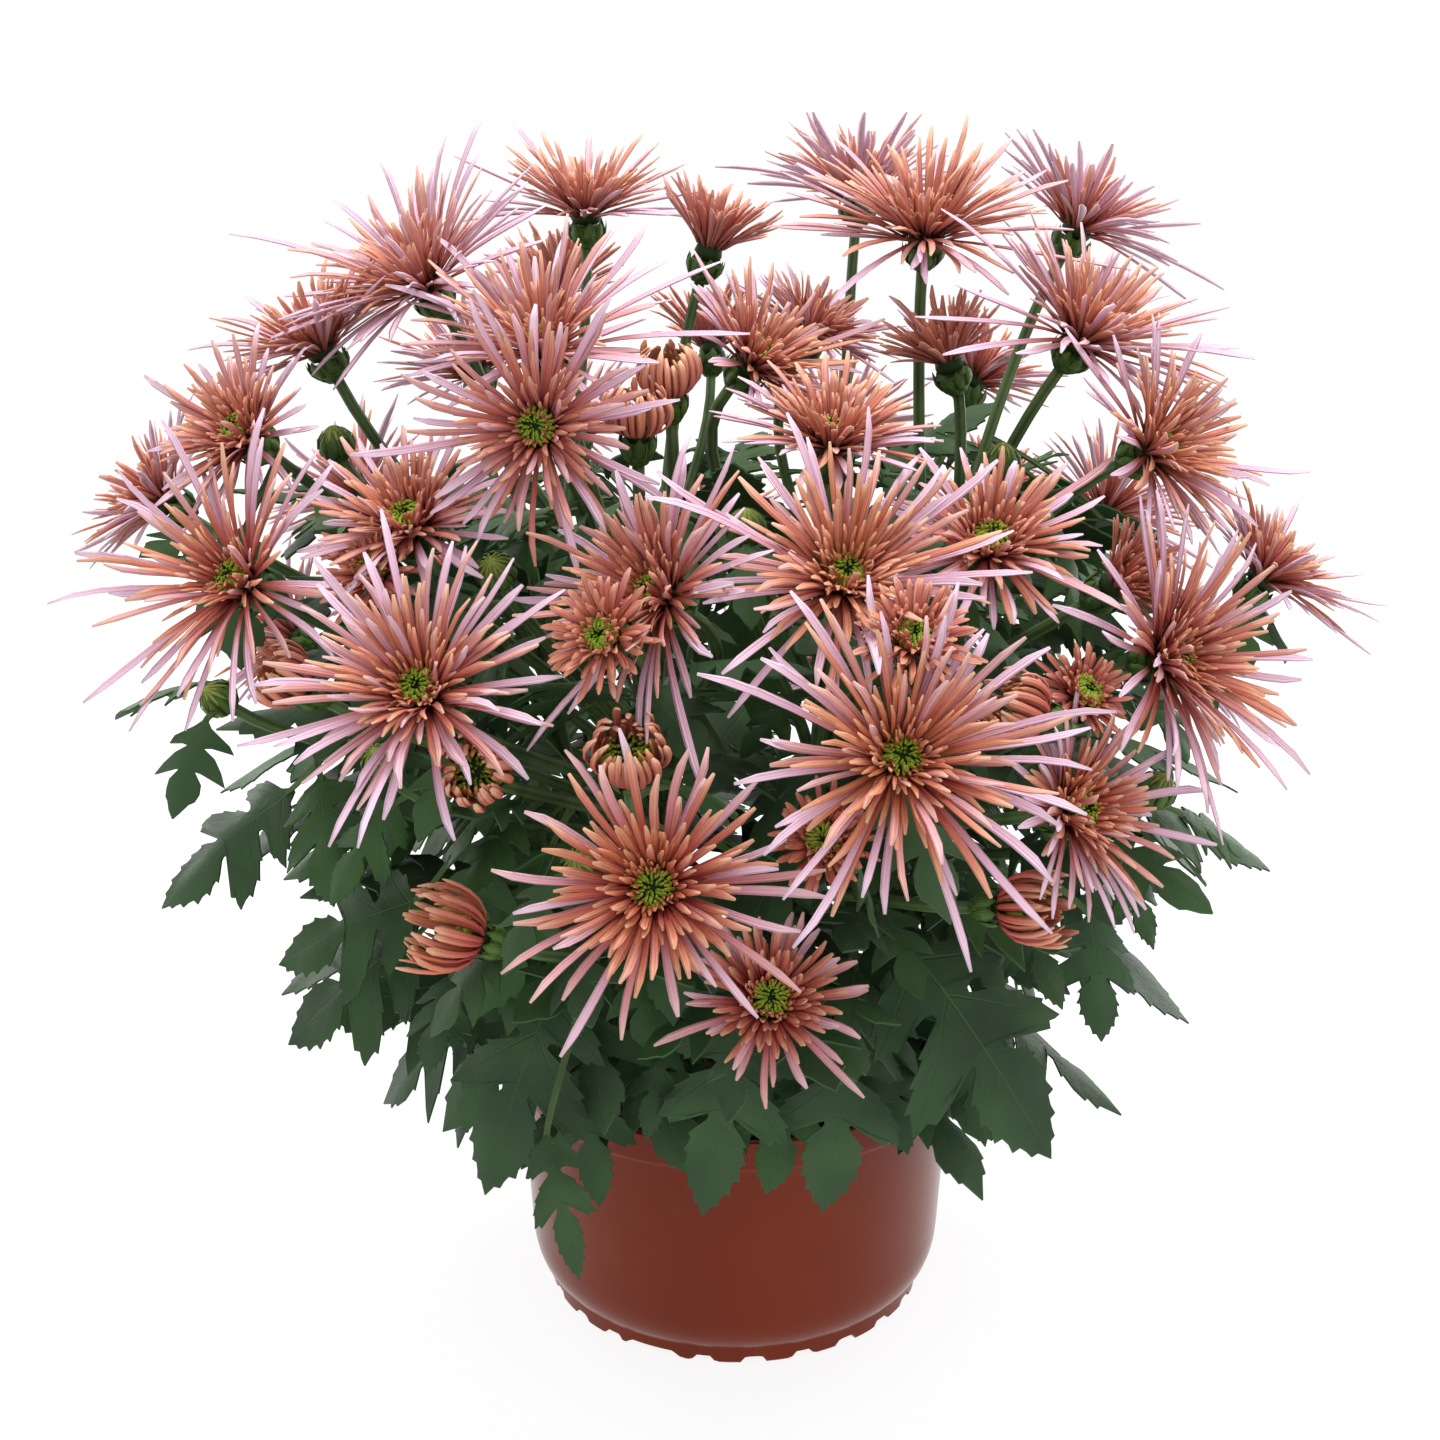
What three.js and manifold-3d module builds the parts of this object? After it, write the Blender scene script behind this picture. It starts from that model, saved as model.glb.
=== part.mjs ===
// Potted spider chrysanthemum: a plastic nursery pot filled with peat, six leafy stems
// standing in holes in the peat, and the flower heads that the stems carry.
// Millimetres, +Z up. The origin lies under the pot's axis, on the plane the pot stands on.
import * as THREE from 'three';
import { mergeVertices } from 'three/addons/utils/BufferGeometryUtils.js';
import Module from 'manifold-3d';

const wasm = await Module();
wasm.setup();

// Driving dimensions of the pot and the peat
const POT_HEIGHT = 80;
const RIM_RADIUS = 71.5;
const RIM_BAND = 9.5;
const SHOULDER_STEP = 1;
const LIP_WIDTH = 2;
const FOOT_RADIUS = 62;
const FOOT_HEIGHT = 5.4;
const FOOT_RING_WIDTH = 2.2;
const BELLY_RADIUS = 67.2;
const BELLY_HEIGHT = 15;
const WALL = 1.5;
const CENTRE_PAD_RADIUS = 25;
const CHANNEL_RISE = 4;
const DRAIN_HOLES = 6;
const DRAIN_HOLE_RADIUS = 3.5;
const DRAIN_HOLE_RING = 43;
const FOOT_NOTCHES = 15;
const NOTCH_WIDTH = 5.5;
const NOTCH_HEIGHT = 2.6;
const NOTCH_DEPTH = 9;
const PEAT_BELOW_RIM = 13;
const PEAT_TOP = POT_HEIGHT - PEAT_BELOW_RIM;
const SHOULDER = POT_HEIGHT - RIM_BAND;
const GAP = 0.35;

// Driving dimensions of the plant
const STEM_BEARINGS = [-70, -24, 24, 70, 145, 215];
const STEM_RING = 27;
const STEM_TOP_RING = 60;
const STEM_TOP = 205;
const STEM_RADIUS = 2.9;
const STEM_TIP_RADIUS = 2.2;
const STEM_DEPTH = 16;
const STEM_HOLE_RADIUS = 3.6;
const CUT_LENGTH = 40;
const BRANCH_RADIUS = 1.9;
const BRANCH_SIDES = 3;
const CALYX_HEIGHT = 6;
const CORE_DROP = 2.2;
const CALYX_OVERHANG = 0.6;
const STALK_WIDTH = 2.2;
const BLADE_THICKNESS = 0.7;
const RAY_HALF_WIDTH = 1.5;
const RAY_TIP_RADIUS = 0.35;

// The view that the places below are given in: a camera in front of the plant, in mm from
// the origin, tilted down, with its focal length and the picture's middle in picture pixels.
const VIEW = { x: -5, front: 545, up: 334, tiltDeg: 15, focal: 1800, middle: 720 };

const toRad = THREE.MathUtils.degToRad;
const UP = new THREE.Vector3(0, 0, 1);

// The point seen at a pixel of the view, a given distance in front of the pot's axis.
function placeAt([px, py], front) {
  const tilt = toRad(VIEW.tiltDeg);
  const right = (px - VIEW.middle) / VIEW.focal;
  const rise = (VIEW.middle - py) / VIEW.focal;
  const forward = Math.cos(tilt) + rise * Math.sin(tilt);
  const upward = -Math.sin(tilt) + rise * Math.cos(tilt);
  const far = (VIEW.front - front) / forward;
  return new THREE.Vector3(VIEW.x + right * far, -front, VIEW.up + upward * far);
}

// A direction from its bearing, 0 towards the viewer and 90 to the right, and its pitch above level.
function direction(bearingDeg, pitchDeg) {
  const level = Math.cos(toRad(pitchDeg));
  const bearing = toRad(bearingDeg);
  return new THREE.Vector3(
    level * Math.sin(bearing), -level * Math.cos(bearing), Math.sin(toRad(pitchDeg)));
}

function bearingOf(point) {
  return THREE.MathUtils.radToDeg(Math.atan2(point.x, -point.y));
}

// A small seeded generator, so that the plant grows the same way each time.
function randomFrom(seed) {
  let state = seed >>> 0;
  return () => {
    state = (state + 0x6d2b79f5) >>> 0;
    let mixed = Math.imul(state ^ (state >>> 15), 1 | state);
    mixed = (mixed + Math.imul(mixed ^ (mixed >>> 7), 61 | mixed)) ^ mixed;
    return ((mixed ^ (mixed >>> 14)) >>> 0) / 4294967296;
  };
}

function spread(random, amount) {
  return (random() * 2 - 1) * amount;
}

// Flower heads. eye: where the head's green middle is seen, in pixels of the view.
// front: mm in front of the pot's axis. faces: bearing and pitch of the head's axis.
// reach: length of the longest rays, mm. tips: pixels where its longest rays end.
const OPEN_HEADS = [
  { kind: 'bloom', eye: [415, 270], front: 45, faces: [-50, 52], reach: 50,
    tips: [[229, 234], [484, 114], [520, 190], [254, 262], [333, 200]] },
  { kind: 'bloom', eye: [312, 331], front: 40, faces: [-75, 65], reach: 38,
    tips: [[188, 350], [222, 318], [365, 240], [246, 296]] },
  { kind: 'bloom', eye: [233, 426], front: 80, faces: [-35, 35], reach: 32,
    tips: [[144, 375], [192, 372], [150, 415], [306, 405]] },
  { kind: 'bloom', eye: [147, 490], front: 45, faces: [-85, 35], reach: 32,
    tips: [[73, 490], [82, 512], [150, 420], [104, 540]] },
  { kind: 'bloom', eye: [230, 575], front: 110, faces: [-25, 30], reach: 47,
    tips: [[47, 604], [75, 553], [83, 703], [129, 732], [233, 721], [334, 657], [162, 420],
      [254, 420], [323, 490]] },
  { kind: 'bloom', eye: [404, 512], front: 105, faces: [-15, 50], reach: 33,
    tips: [[358, 438], [328, 460], [514, 512]] },
  { kind: 'curled_bloom', eye: [370, 567], front: 112, faces: [-20, 30], reach: 17,
    tips: [[317, 548], [306, 597]] },
  { kind: 'bloom', eye: [416, 685], front: 150, faces: [-12, 36], reach: 43,
    tips: [[381, 509], [453, 541], [514, 558], [317, 584], [268, 680], [237, 746], [329, 847],
      [358, 848], [499, 711], [565, 590]] },
  { kind: 'bloom', eye: [585, 195], front: -10, faces: [0, 80], reach: 38,
    tips: [[509, 120], [591, 132], [685, 164], [708, 190], [454, 156]] },
  { kind: 'dark_bloom', eye: [714, 233], front: 10, faces: [70, 72], reach: 27,
    tips: [[732, 184], [772, 202]] },
  { kind: 'bloom', eye: [539, 334], front: 75, faces: [-10, 58], reach: 47,
    tips: [[434, 235], [385, 285], [564, 236], [619, 224], [750, 334], [723, 261]] },
  { kind: 'bloom', eye: [535, 426], front: 118, faces: [-5, 12], reach: 40,
    tips: [[435, 498], [463, 524], [518, 516], [561, 527], [585, 539], [680, 400], [350, 455],
      [413, 418], [561, 322]] },
  { kind: 'bloom', eye: [766, 350], front: 62, faces: [55, 42], reach: 35,
    tips: [[752, 270], [885, 319], [815, 392]] },
  { kind: 'bloom', eye: [818, 319], front: -20, faces: [70, 60], reach: 32, tips: [] },
  { kind: 'dark_bloom', eye: [560, 280], front: -45, faces: [180, 72], reach: 28, tips: [] },
  { kind: 'bloom', eye: [835, 425], front: 98, faces: [15, 70], reach: 33,
    tips: [[709, 411], [766, 398], [849, 386]] },
  { kind: 'bloom', eye: [860, 180], front: -45, faces: [160, 74], reach: 40,
    tips: [[813, 112], [865, 112], [715, 167], [907, 112], [932, 127]] },
  { kind: 'bloom', eye: [926, 218], front: 30, faces: [0, 66], reach: 46,
    tips: [[781, 225], [777, 253], [830, 306], [1047, 170], [1131, 270], [1005, 144], [944, 138]] },
  { kind: 'bloom', eye: [1087, 212], front: -12, faces: [90, 62], reach: 40,
    tips: [[1033, 129], [1079, 141], [1142, 221], [1166, 256], [1224, 290], [1191, 303]] },
  { kind: 'bloom', eye: [1093, 325], front: 60, faces: [48, 52], reach: 47,
    tips: [[941, 209], [1004, 221], [915, 317], [943, 355], [1230, 330], [1255, 359], [1221, 391]] },
  { kind: 'dark_bloom', eye: [943, 345], front: 38, faces: [-60, 66], reach: 24,
    tips: [[889, 296], [932, 285]] },
  { kind: 'bloom', eye: [1169, 444], front: 90, faces: [48, 25], reach: 38,
    tips: [[1310, 472], [1264, 450], [1236, 398], [1270, 486], [1175, 533], [1065, 328], [1083, 377]] },
  { kind: 'bloom', eye: [993, 534], front: 122, faces: [5, 46], reach: 31,
    tips: [[1105, 496], [1114, 456], [1127, 612]] },
  { kind: 'dark_bloom', eye: [1132, 576], front: 108, faces: [55, 35], reach: 21, tips: [] },
  { kind: 'bloom', eye: [1182, 655], front: 125, faces: [42, 20], reach: 44,
    tips: [[1351, 728], [1310, 775], [1313, 660], [1280, 747], [1223, 845], [1207, 805], [1256, 543]] },
  { kind: 'bloom', eye: [1278, 563], front: 55, faces: [80, 50], reach: 34,
    tips: [[1225, 486], [1278, 506], [1299, 500], [1363, 574], [1387, 606], [1379, 622], [1371, 655]] },
  { kind: 'curled_bloom', eye: [1089, 689], front: 138, faces: [30, 40], reach: 14, tips: [] },
  { kind: 'bloom', eye: [1087, 808], front: 148, faces: [42, 20], reach: 32,
    tips: [[1217, 845], [1208, 791], [1180, 748], [1173, 720], [1139, 917], [1134, 934]] },
  { kind: 'bloom', eye: [847, 570], front: 142, faces: [5, 42], reach: 45,
    tips: [[807, 437], [758, 457], [656, 472], [645, 497], [998, 460], [728, 718], [722, 674],
      [879, 674]] },
  { kind: 'bloom', eye: [648, 588], front: 138, faces: [-42, 30], reach: 41,
    tips: [[512, 599], [558, 530], [691, 435], [734, 447], [527, 751], [647, 744], [703, 792]] },
  { kind: 'curled_bloom', eye: [599, 634], front: 160, faces: [-25, 22], reach: 16, tips: [] },
  { kind: 'bloom', eye: [903, 755], front: 176, faces: [5, 30], reach: 47,
    tips: [[676, 735], [734, 784], [697, 674], [790, 591], [1087, 679], [1117, 712], [1092, 770],
      [1052, 934], [971, 972], [793, 948]] },
  { kind: 'curled_bloom', eye: [915, 633], front: 164, faces: [5, 45], reach: 17, tips: [] },
  { kind: 'bloom', eye: [653, 887], front: 180, faces: [-3, 22], reach: 38,
    tips: [[491, 870], [501, 974], [530, 1003], [560, 1057], [615, 1040], [826, 870], [826, 897],
      [801, 992], [758, 1018], [708, 747], [757, 781]] },
  { kind: 'bloom', eye: [771, 997], front: 152, faces: [5, 38], reach: 26,
    tips: [[766, 1109], [864, 1098], [869, 986], [654, 1046]] },
  { kind: 'curled_bloom', eye: [823, 839], front: 152, faces: [-5, 25], reach: 15, tips: [] },
];

// Heads on the side of the plant turned away from the view: x, y and z in mm.
const BACK_HEADS = [
  { kind: 'bloom', place: [-60, 128, 268], faces: [202, 50], reach: 44 },
  { kind: 'bloom', place: [40, 132, 270], faces: [165, 50], reach: 42 },
  { kind: 'bloom', place: [-134, 84, 250], faces: [238, 42], reach: 42 },
  { kind: 'bloom', place: [134, 88, 244], faces: [125, 40], reach: 43 },
  { kind: 'bloom', place: [-104, 138, 205], faces: [216, 24], reach: 42 },
  { kind: 'bloom', place: [-12, 168, 222], faces: [184, 26], reach: 44 },
  { kind: 'bloom', place: [88, 146, 205], faces: [149, 22], reach: 40 },
  { kind: 'dark_bloom', place: [-8, 82, 302], faces: [180, 66], reach: 30 },
  { kind: 'bloom', place: [-158, 72, 200], faces: [246, 18], reach: 38 },
  { kind: 'bloom', place: [156, 66, 196], faces: [112, 18], reach: 40 },
  { kind: 'bloom', place: [82, 72, 292], faces: [132, 62], reach: 38 },
  { kind: 'bloom', place: [-88, 62, 296], faces: [232, 62], reach: 40 },
  { kind: 'bloom', place: [-52, 160, 178], faces: [200, 12], reach: 34 },
  { kind: 'bloom', place: [42, 160, 168], faces: [166, 10], reach: 36 },
  { kind: 'dark_bloom', place: [96, 112, 250], faces: [140, 48], reach: 24 },
  { kind: 'curled_bloom', place: [-100, 108, 236], faces: [222, 40], reach: 17 },
];

// Heads that are only half open, given as the open ones are.
const YOUNG_HEADS = [
  { kind: 'young_bloom', eye: [478, 773], front: 150, faces: [-8, 25], reach: 12 },
  { kind: 'young_bloom', eye: [288, 680], front: 105, faces: [-60, 35], reach: 12 },
  { kind: 'young_bloom', eye: [668, 377], front: 88, faces: [-10, 72], reach: 12 },
  { kind: 'young_bloom', eye: [637, 417], front: 100, faces: [0, 78], reach: 12 },
  { kind: 'young_bloom', eye: [1023, 712], front: 150, faces: [-75, 25], reach: 12 },
  { kind: 'young_bloom', eye: [1019, 908], front: 140, faces: [62, 10], reach: 13 },
  { kind: 'young_bloom', eye: [627, 758], front: 162, faces: [0, 48], reach: 13 },
  { kind: 'young_bloom', eye: [464, 934], front: 140, faces: [-78, 22], reach: 15 },
];

// Green buds that are still closed; each is the end of its own branch.
const CLOSED_BUDS = [
  { eye: [205, 689], front: 95, faces: [-40, 40] },
  { eye: [491, 561], front: 118, faces: [-10, 40] },
  { eye: [374, 750], front: 128, faces: [-20, 50] },
  { eye: [332, 426], front: 58, faces: [-30, 75] },
  { eye: [746, 509], front: 110, faces: [0, 70] },
  { eye: [1004, 443], front: 70, faces: [10, 75] },
  { eye: [1167, 775], front: 122, faces: [50, 60] },
  { eye: [575, 858], front: 150, faces: [-20, 40] },
];

// Leaves seen in the view. base and tip: pixels of the blade's two ends, with their fronts in mm.
// wide: the blade's width as a share of its length.
const SEEN_LEAVES = [
  { base: [293, 789], tip: [161, 908], fronts: [62, 70], wide: 0.85 },
  { base: [321, 775], tip: [333, 907], fronts: [85, 112], wide: 0.75 },
  { base: [422, 899], tip: [278, 965], fronts: [92, 82], wide: 0.8 },
  { base: [420, 935], tip: [288, 1045], fronts: [80, 76], wide: 0.85 },
  { base: [452, 975], tip: [428, 1075], fronts: [96, 118], wide: 0.7 },
  { base: [560, 980], tip: [486, 1195], fronts: [96, 112], wide: 0.75 },
  { base: [520, 950], tip: [420, 1060], fronts: [70, 88], wide: 0.75 },
  { base: [545, 1130], tip: [580, 1281], fronts: [96, 100], wide: 0.65 },
  { base: [585, 1060], tip: [600, 1208], fronts: [84, 96], wide: 0.6 },
  { base: [665, 1040], tip: [646, 1141], fronts: [96, 108], wide: 0.6 },
  { base: [742, 1010], tip: [703, 1216], fronts: [100, 112], wide: 0.75 },
  { base: [800, 1060], tip: [766, 1195], fronts: [88, 96], wide: 0.7 },
  { base: [850, 1020], tip: [822, 1213], fronts: [100, 110], wide: 0.72 },
  { base: [872, 1040], tip: [908, 1155], fronts: [82, 96], wide: 0.75 },
  { base: [905, 945], tip: [1050, 1159], fronts: [104, 118], wide: 0.85 },
  { base: [960, 1030], tip: [985, 1147], fronts: [76, 90], wide: 0.7 },
  { base: [950, 1110], tip: [988, 1246], fronts: [72, 84], wide: 0.6 },
  { base: [1090, 913], tip: [1101, 1042], fronts: [76, 96], wide: 0.85 },
  { base: [1120, 850], tip: [1153, 950], fronts: [60, 72], wide: 0.7 },
  { base: [1010, 900], tip: [1062, 1010], fronts: [92, 110], wide: 0.7 },
  { base: [400, 800], tip: [330, 905], fronts: [105, 112], wide: 0.75 },
  { base: [520, 820], tip: [462, 900], fronts: [112, 130], wide: 0.7 },
];

// Leaves placed by a rule, in rings round the plant: bearings from and to, how many, the
// distance of the blade's base from the pot's axis, its height, and the blade's length.
const LEAF_RINGS = [
  { from: 76, to: 286, count: 7, out: 82, height: 142, length: 72, pitch: -40 },
  { from: 70, to: 290, count: 8, out: 106, height: 188, length: 64, pitch: -22 },
  { from: 60, to: 300, count: 7, out: 95, height: 232, length: 54, pitch: 10 },
  { from: -55, to: 55, count: 5, out: 92, height: 212, length: 50, pitch: 10 },
  { from: 0, to: 290, count: 4, out: 52, height: 252, length: 46, pitch: 28 },
];

// Half of a leaf's outline, base to tip: share of the length, share of the width.
// The two deep bays part the blade into its lobes.
const LEAF_HALF = [
  [0.06, 0.22], [0.27, 0.46], [0.3, 0.14], [0.53, 0.48], [0.62, 0.14], [0.77, 0.21], [0.89, 0.12],
];
const LEAF_RIB = [0.27, 0.6];

// Room already taken: small balls along each stem, ray and blade, kept in a coarse grid.
const CELL = 12;
const RAY_GAP = 0.15;
const RIM_INSET = 4;
const PEAT_MOUND = 2;
const takenRoom = new Map();

function cellKey(i, j, k) {
  return `${i},${j},${k}`;
}

function takeRoom(balls) {
  for (const ball of balls) {
    const cell = ball.at.toArray().map((v) => Math.floor(v / CELL));
    const key = cellKey(...cell);
    if (!takenRoom.has(key)) takenRoom.set(key, []);
    takenRoom.get(key).push(ball);
  }
}

// True where a ball would touch the pot or the peat.
function meetsPot({ at, radius }) {
  if (at.z > POT_HEIGHT + radius + GAP) return false;
  const out = Math.hypot(at.x, at.y);
  if (out > RIM_RADIUS + radius + GAP) return false;
  return out > RIM_RADIUS - RIM_INSET - radius || at.z < PEAT_TOP + PEAT_MOUND + radius + GAP;
}

// True where no ball of another piece is nearer than the gap. Two rays of one head may meet
// at their roots, so there only the balls past the root zone count.
function isClear(balls, ignored = []) {
  for (const ball of balls) {
    if (meetsPot(ball)) return false;
    const [ci, cj, ck] = ball.at.toArray().map((v) => Math.floor(v / CELL));
    for (let i = ci - 1; i <= ci + 1; i += 1) {
      for (let j = cj - 1; j <= cj + 1; j += 1) {
        for (let k = ck - 1; k <= ck + 1; k += 1) {
          for (const other of takenRoom.get(cellKey(i, j, k)) ?? []) {
            const samePiece = other.owner === ball.owner;
            if (samePiece && !(ball.free && other.free)) continue;
            if (ignored.includes(other.owner)) continue;
            const room = ball.radius + other.radius + (samePiece ? RAY_GAP : GAP);
            if (ball.at.distanceToSquared(other.at) < room * room) return false;
          }
        }
      }
    }
  }
  return true;
}

// Balls along a row of points whose radius changes from point to point.
function ballsAlong(points, radii, owner, step = 2) {
  const balls = [];
  for (let i = 0; i + 1 < points.length; i += 1) {
    const count = Math.max(1, Math.ceil(points[i].distanceTo(points[i + 1]) / step));
    for (let s = 0; s < count; s += 1) {
      const share = s / count;
      balls.push({
        at: points[i].clone().lerp(points[i + 1], share),
        radius: THREE.MathUtils.lerp(radii[i], radii[i + 1], share),
        owner,
        free: false,
      });
    }
  }
  balls.push({ at: points.at(-1).clone(), radius: radii.at(-1), owner, free: false });
  return balls;
}

// A closed tube through a row of points, with a radius at each.
// Directions closer than this cosine count as parallel when one is laid across the other.
const NEARLY_PARALLEL = 0.95;

function tube(points, radii, sides) {
  const vertices = [];
  const faces = [];
  let across = new THREE.Vector3(1, 0, 0);
  points.forEach((point, i) => {
    const before = points[Math.max(0, i - 1)];
    const after = points[Math.min(points.length - 1, i + 1)];
    const along = after.clone().sub(before).normalize();
    if (Math.abs(across.dot(along)) > NEARLY_PARALLEL) across = new THREE.Vector3(0, 1, 0);
    across = across.clone().addScaledVector(along, -across.dot(along)).normalize();
    const side = along.clone().cross(across);
    for (let k = 0; k < sides; k += 1) {
      const turn = (2 * Math.PI * k) / sides;
      vertices.push(point.clone()
        .addScaledVector(across, radii[i] * Math.cos(turn))
        .addScaledVector(side, radii[i] * Math.sin(turn)));
    }
  });
  const last = (points.length - 1) * sides;
  for (let i = 0; i < last; i += sides) {
    for (let k = 0; k < sides; k += 1) {
      const next = (k + 1) % sides;
      faces.push([i + k, i + next, i + sides + next], [i + k, i + sides + next, i + sides + k]);
    }
  }
  for (let k = 1; k + 1 < sides; k += 1) {
    faces.push([0, k + 1, k], [last, last + k, last + k + 1]);
  }
  return { vertices, faces };
}

function geometryOf({ vertices, faces }) {
  const geometry = new THREE.BufferGeometry();
  const positions = new Float32Array(vertices.flatMap((v) => v.toArray()));
  geometry.setAttribute('position', new THREE.BufferAttribute(positions, 3));
  geometry.setIndex(faces.flat());
  return geometry;
}

const WELD_DISTANCE = 1e-4;

function solidFrom(geometry) {
  const bare = geometry.clone();
  bare.deleteAttribute('normal');
  bare.deleteAttribute('uv');
  const merged = mergeVertices(bare, WELD_DISTANCE);
  return new wasm.Manifold(new wasm.Mesh({
    numProp: 3,
    vertProperties: new Float32Array(merged.attributes.position.array),
    triVerts: new Uint32Array(merged.index.array),
  }));
}

function geometryFrom(solid) {
  const mesh = solid.getMesh();
  const geometry = new THREE.BufferGeometry();
  geometry.setAttribute('position', new THREE.BufferAttribute(mesh.vertProperties, 3));
  geometry.setIndex(new THREE.BufferAttribute(mesh.triVerts, 1));
  return geometry;
}

// True where an edge of one list of triangles runs through a triangle of the other list.
// A triangle is three corner points; an edge that ends on the triangle's corner doesn't count.
function pierces(cutting, cut) {
  const line = new THREE.Ray();
  const hit = new THREE.Vector3();
  return cutting.some((corners) => corners.some((from, k) => {
    const to = corners[(k + 1) % 3];
    const far = from.distanceTo(to);
    line.origin.copy(from);
    line.direction.copy(to).sub(from).divideScalar(far);
    return cut.some((face) => !face.includes(from) && !face.includes(to)
      && line.intersectTriangle(...face, false, hit) && hit.distanceTo(from) < far);
  }));
}

const MATERIALS = {
  pot: new THREE.MeshStandardMaterial({ color: 0x8e3d22, roughness: 0.35, metalness: 0 }),
  soil: new THREE.MeshStandardMaterial({ color: 0x1d1511, roughness: 1, metalness: 0 }),
  leafy_stem: new THREE.MeshStandardMaterial({ color: 0x2f5a34, roughness: 0.6, metalness: 0 }),
  bloom: new THREE.MeshStandardMaterial({ color: 0xd09a97, roughness: 0.6, metalness: 0 }),
  curled_bloom: new THREE.MeshStandardMaterial({ color: 0xc4705c, roughness: 0.6, metalness: 0 }),
  dark_bloom: new THREE.MeshStandardMaterial({ color: 0xa84c4a, roughness: 0.6, metalness: 0 }),
  young_bloom: new THREE.MeshStandardMaterial({ color: 0xb9744a, roughness: 0.6, metalness: 0 }),
};

function namedMesh(name, geometry, material) {
  const mesh = new THREE.Mesh(geometry, material);
  mesh.name = name;
  return mesh;
}

// The pot is one moulded shell: a rim band, a tapering wall, a foot ring with notches that let
// water out, and a floor that stands on its middle pad, with drain holes in the raised channel.
const POT_SIDES = 24;
const DRAIN_HOLE_SIDES = 6;
const CHANNEL_INNER = CENTRE_PAD_RADIUS + 2.5;
const CHANNEL_OUTER = FOOT_RADIUS - 4.5;
const WALL_TOP_RADIUS = RIM_RADIUS - SHOULDER_STEP;
const INNER_TOP_RADIUS = WALL_TOP_RADIUS - WALL;
const INNER_FLOOR = CHANNEL_RISE + WALL;
const SOFT = 0.8;

function potShell() {
  const profile = [
    [0, 0], [CENTRE_PAD_RADIUS, 0], [CHANNEL_INNER, CHANNEL_RISE], [CHANNEL_OUTER, CHANNEL_RISE],
    [FOOT_RADIUS - FOOT_RING_WIDTH, 0], [FOOT_RADIUS, 0], [FOOT_RADIUS, FOOT_HEIGHT],
    [FOOT_RADIUS + 3.3, FOOT_HEIGHT + 3.8], [BELLY_RADIUS, BELLY_HEIGHT],
    [WALL_TOP_RADIUS, SHOULDER - SOFT], [RIM_RADIUS, SHOULDER],
    [RIM_RADIUS, POT_HEIGHT - SOFT], [RIM_RADIUS - SOFT, POT_HEIGHT],
    [RIM_RADIUS - LIP_WIDTH, POT_HEIGHT], [INNER_TOP_RADIUS, SHOULDER - 2 * SOFT],
    [BELLY_RADIUS - WALL, BELLY_HEIGHT], [FOOT_RADIUS - WALL, INNER_FLOOR + 1],
    [CHANNEL_INNER, INNER_FLOOR], [CENTRE_PAD_RADIUS - SOFT, WALL], [0, WALL],
  ];
  const shell = new THREE.LatheGeometry(profile.map(([r, z]) => new THREE.Vector2(r, z)), POT_SIDES);
  shell.rotateX(Math.PI / 2);
  let solid = solidFrom(shell);
  for (let i = 0; i < FOOT_NOTCHES; i += 1) {
    const turn = (2 * Math.PI * (i + 0.5)) / FOOT_NOTCHES;
    const notch = new THREE.BoxGeometry(NOTCH_DEPTH, NOTCH_WIDTH, 2 * NOTCH_HEIGHT);
    notch.translate(FOOT_RADIUS, 0, 0);
    notch.rotateZ(turn);
    solid = solid.subtract(solidFrom(notch));
  }
  for (let i = 0; i < DRAIN_HOLES; i += 1) {
    const turn = (2 * Math.PI * i) / DRAIN_HOLES;
    const sizes = [DRAIN_HOLE_RADIUS, DRAIN_HOLE_RADIUS, CUT_LENGTH, DRAIN_HOLE_SIDES];
    const hole = new THREE.CylinderGeometry(...sizes);
    hole.rotateX(Math.PI / 2);
    hole.translate(DRAIN_HOLE_RING * Math.cos(turn), DRAIN_HOLE_RING * Math.sin(turn), 0);
    solid = solid.subtract(solidFrom(hole));
  }
  return solid;
}

function innerRadiusAt(z) {
  const share = (z - BELLY_HEIGHT) / (SHOULDER - BELLY_HEIGHT);
  return THREE.MathUtils.lerp(BELLY_RADIUS, WALL_TOP_RADIUS, share) - WALL;
}

const PEAT_SIDES = 20;
const STEM_HOLE_SIDES = 8;
const PEAT_CLEARANCE = 1.1;
const PEAT_EDGE_DROP = 1.5;
const PEAT_SHOULDER = 6;
const PEAT_CROWN_RADIUS = 20;

function peatFill() {
  const floor = INNER_FLOOR + 1 + GAP;
  const radiusAt = (z) => innerRadiusAt(z) - PEAT_CLEARANCE;
  const profile = [
    [0, floor], [FOOT_RADIUS - WALL - 2 * PEAT_CLEARANCE, floor],
    [radiusAt(BELLY_HEIGHT), BELLY_HEIGHT], [radiusAt(PEAT_TOP), PEAT_TOP - PEAT_EDGE_DROP],
    [innerRadiusAt(PEAT_TOP) - PEAT_SHOULDER, PEAT_TOP],
    [PEAT_CROWN_RADIUS, PEAT_TOP + PEAT_MOUND], [0, PEAT_TOP + PEAT_MOUND / 2],
  ];
  const fill = new THREE.LatheGeometry(profile.map(([r, z]) => new THREE.Vector2(r, z)), PEAT_SIDES);
  fill.rotateX(Math.PI / 2);
  let solid = solidFrom(fill);
  for (const stem of stems) {
    const sizes = [STEM_HOLE_RADIUS, STEM_HOLE_RADIUS, CUT_LENGTH, STEM_HOLE_SIDES];
    const hole = new THREE.CylinderGeometry(...sizes);
    hole.rotateX(Math.PI / 2);
    hole.translate(stem.foot.x, stem.foot.y, PEAT_TOP - STEM_DEPTH - GAP + CUT_LENGTH / 2);
    solid = solid.subtract(solidFrom(hole));
  }
  return solid;
}

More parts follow.
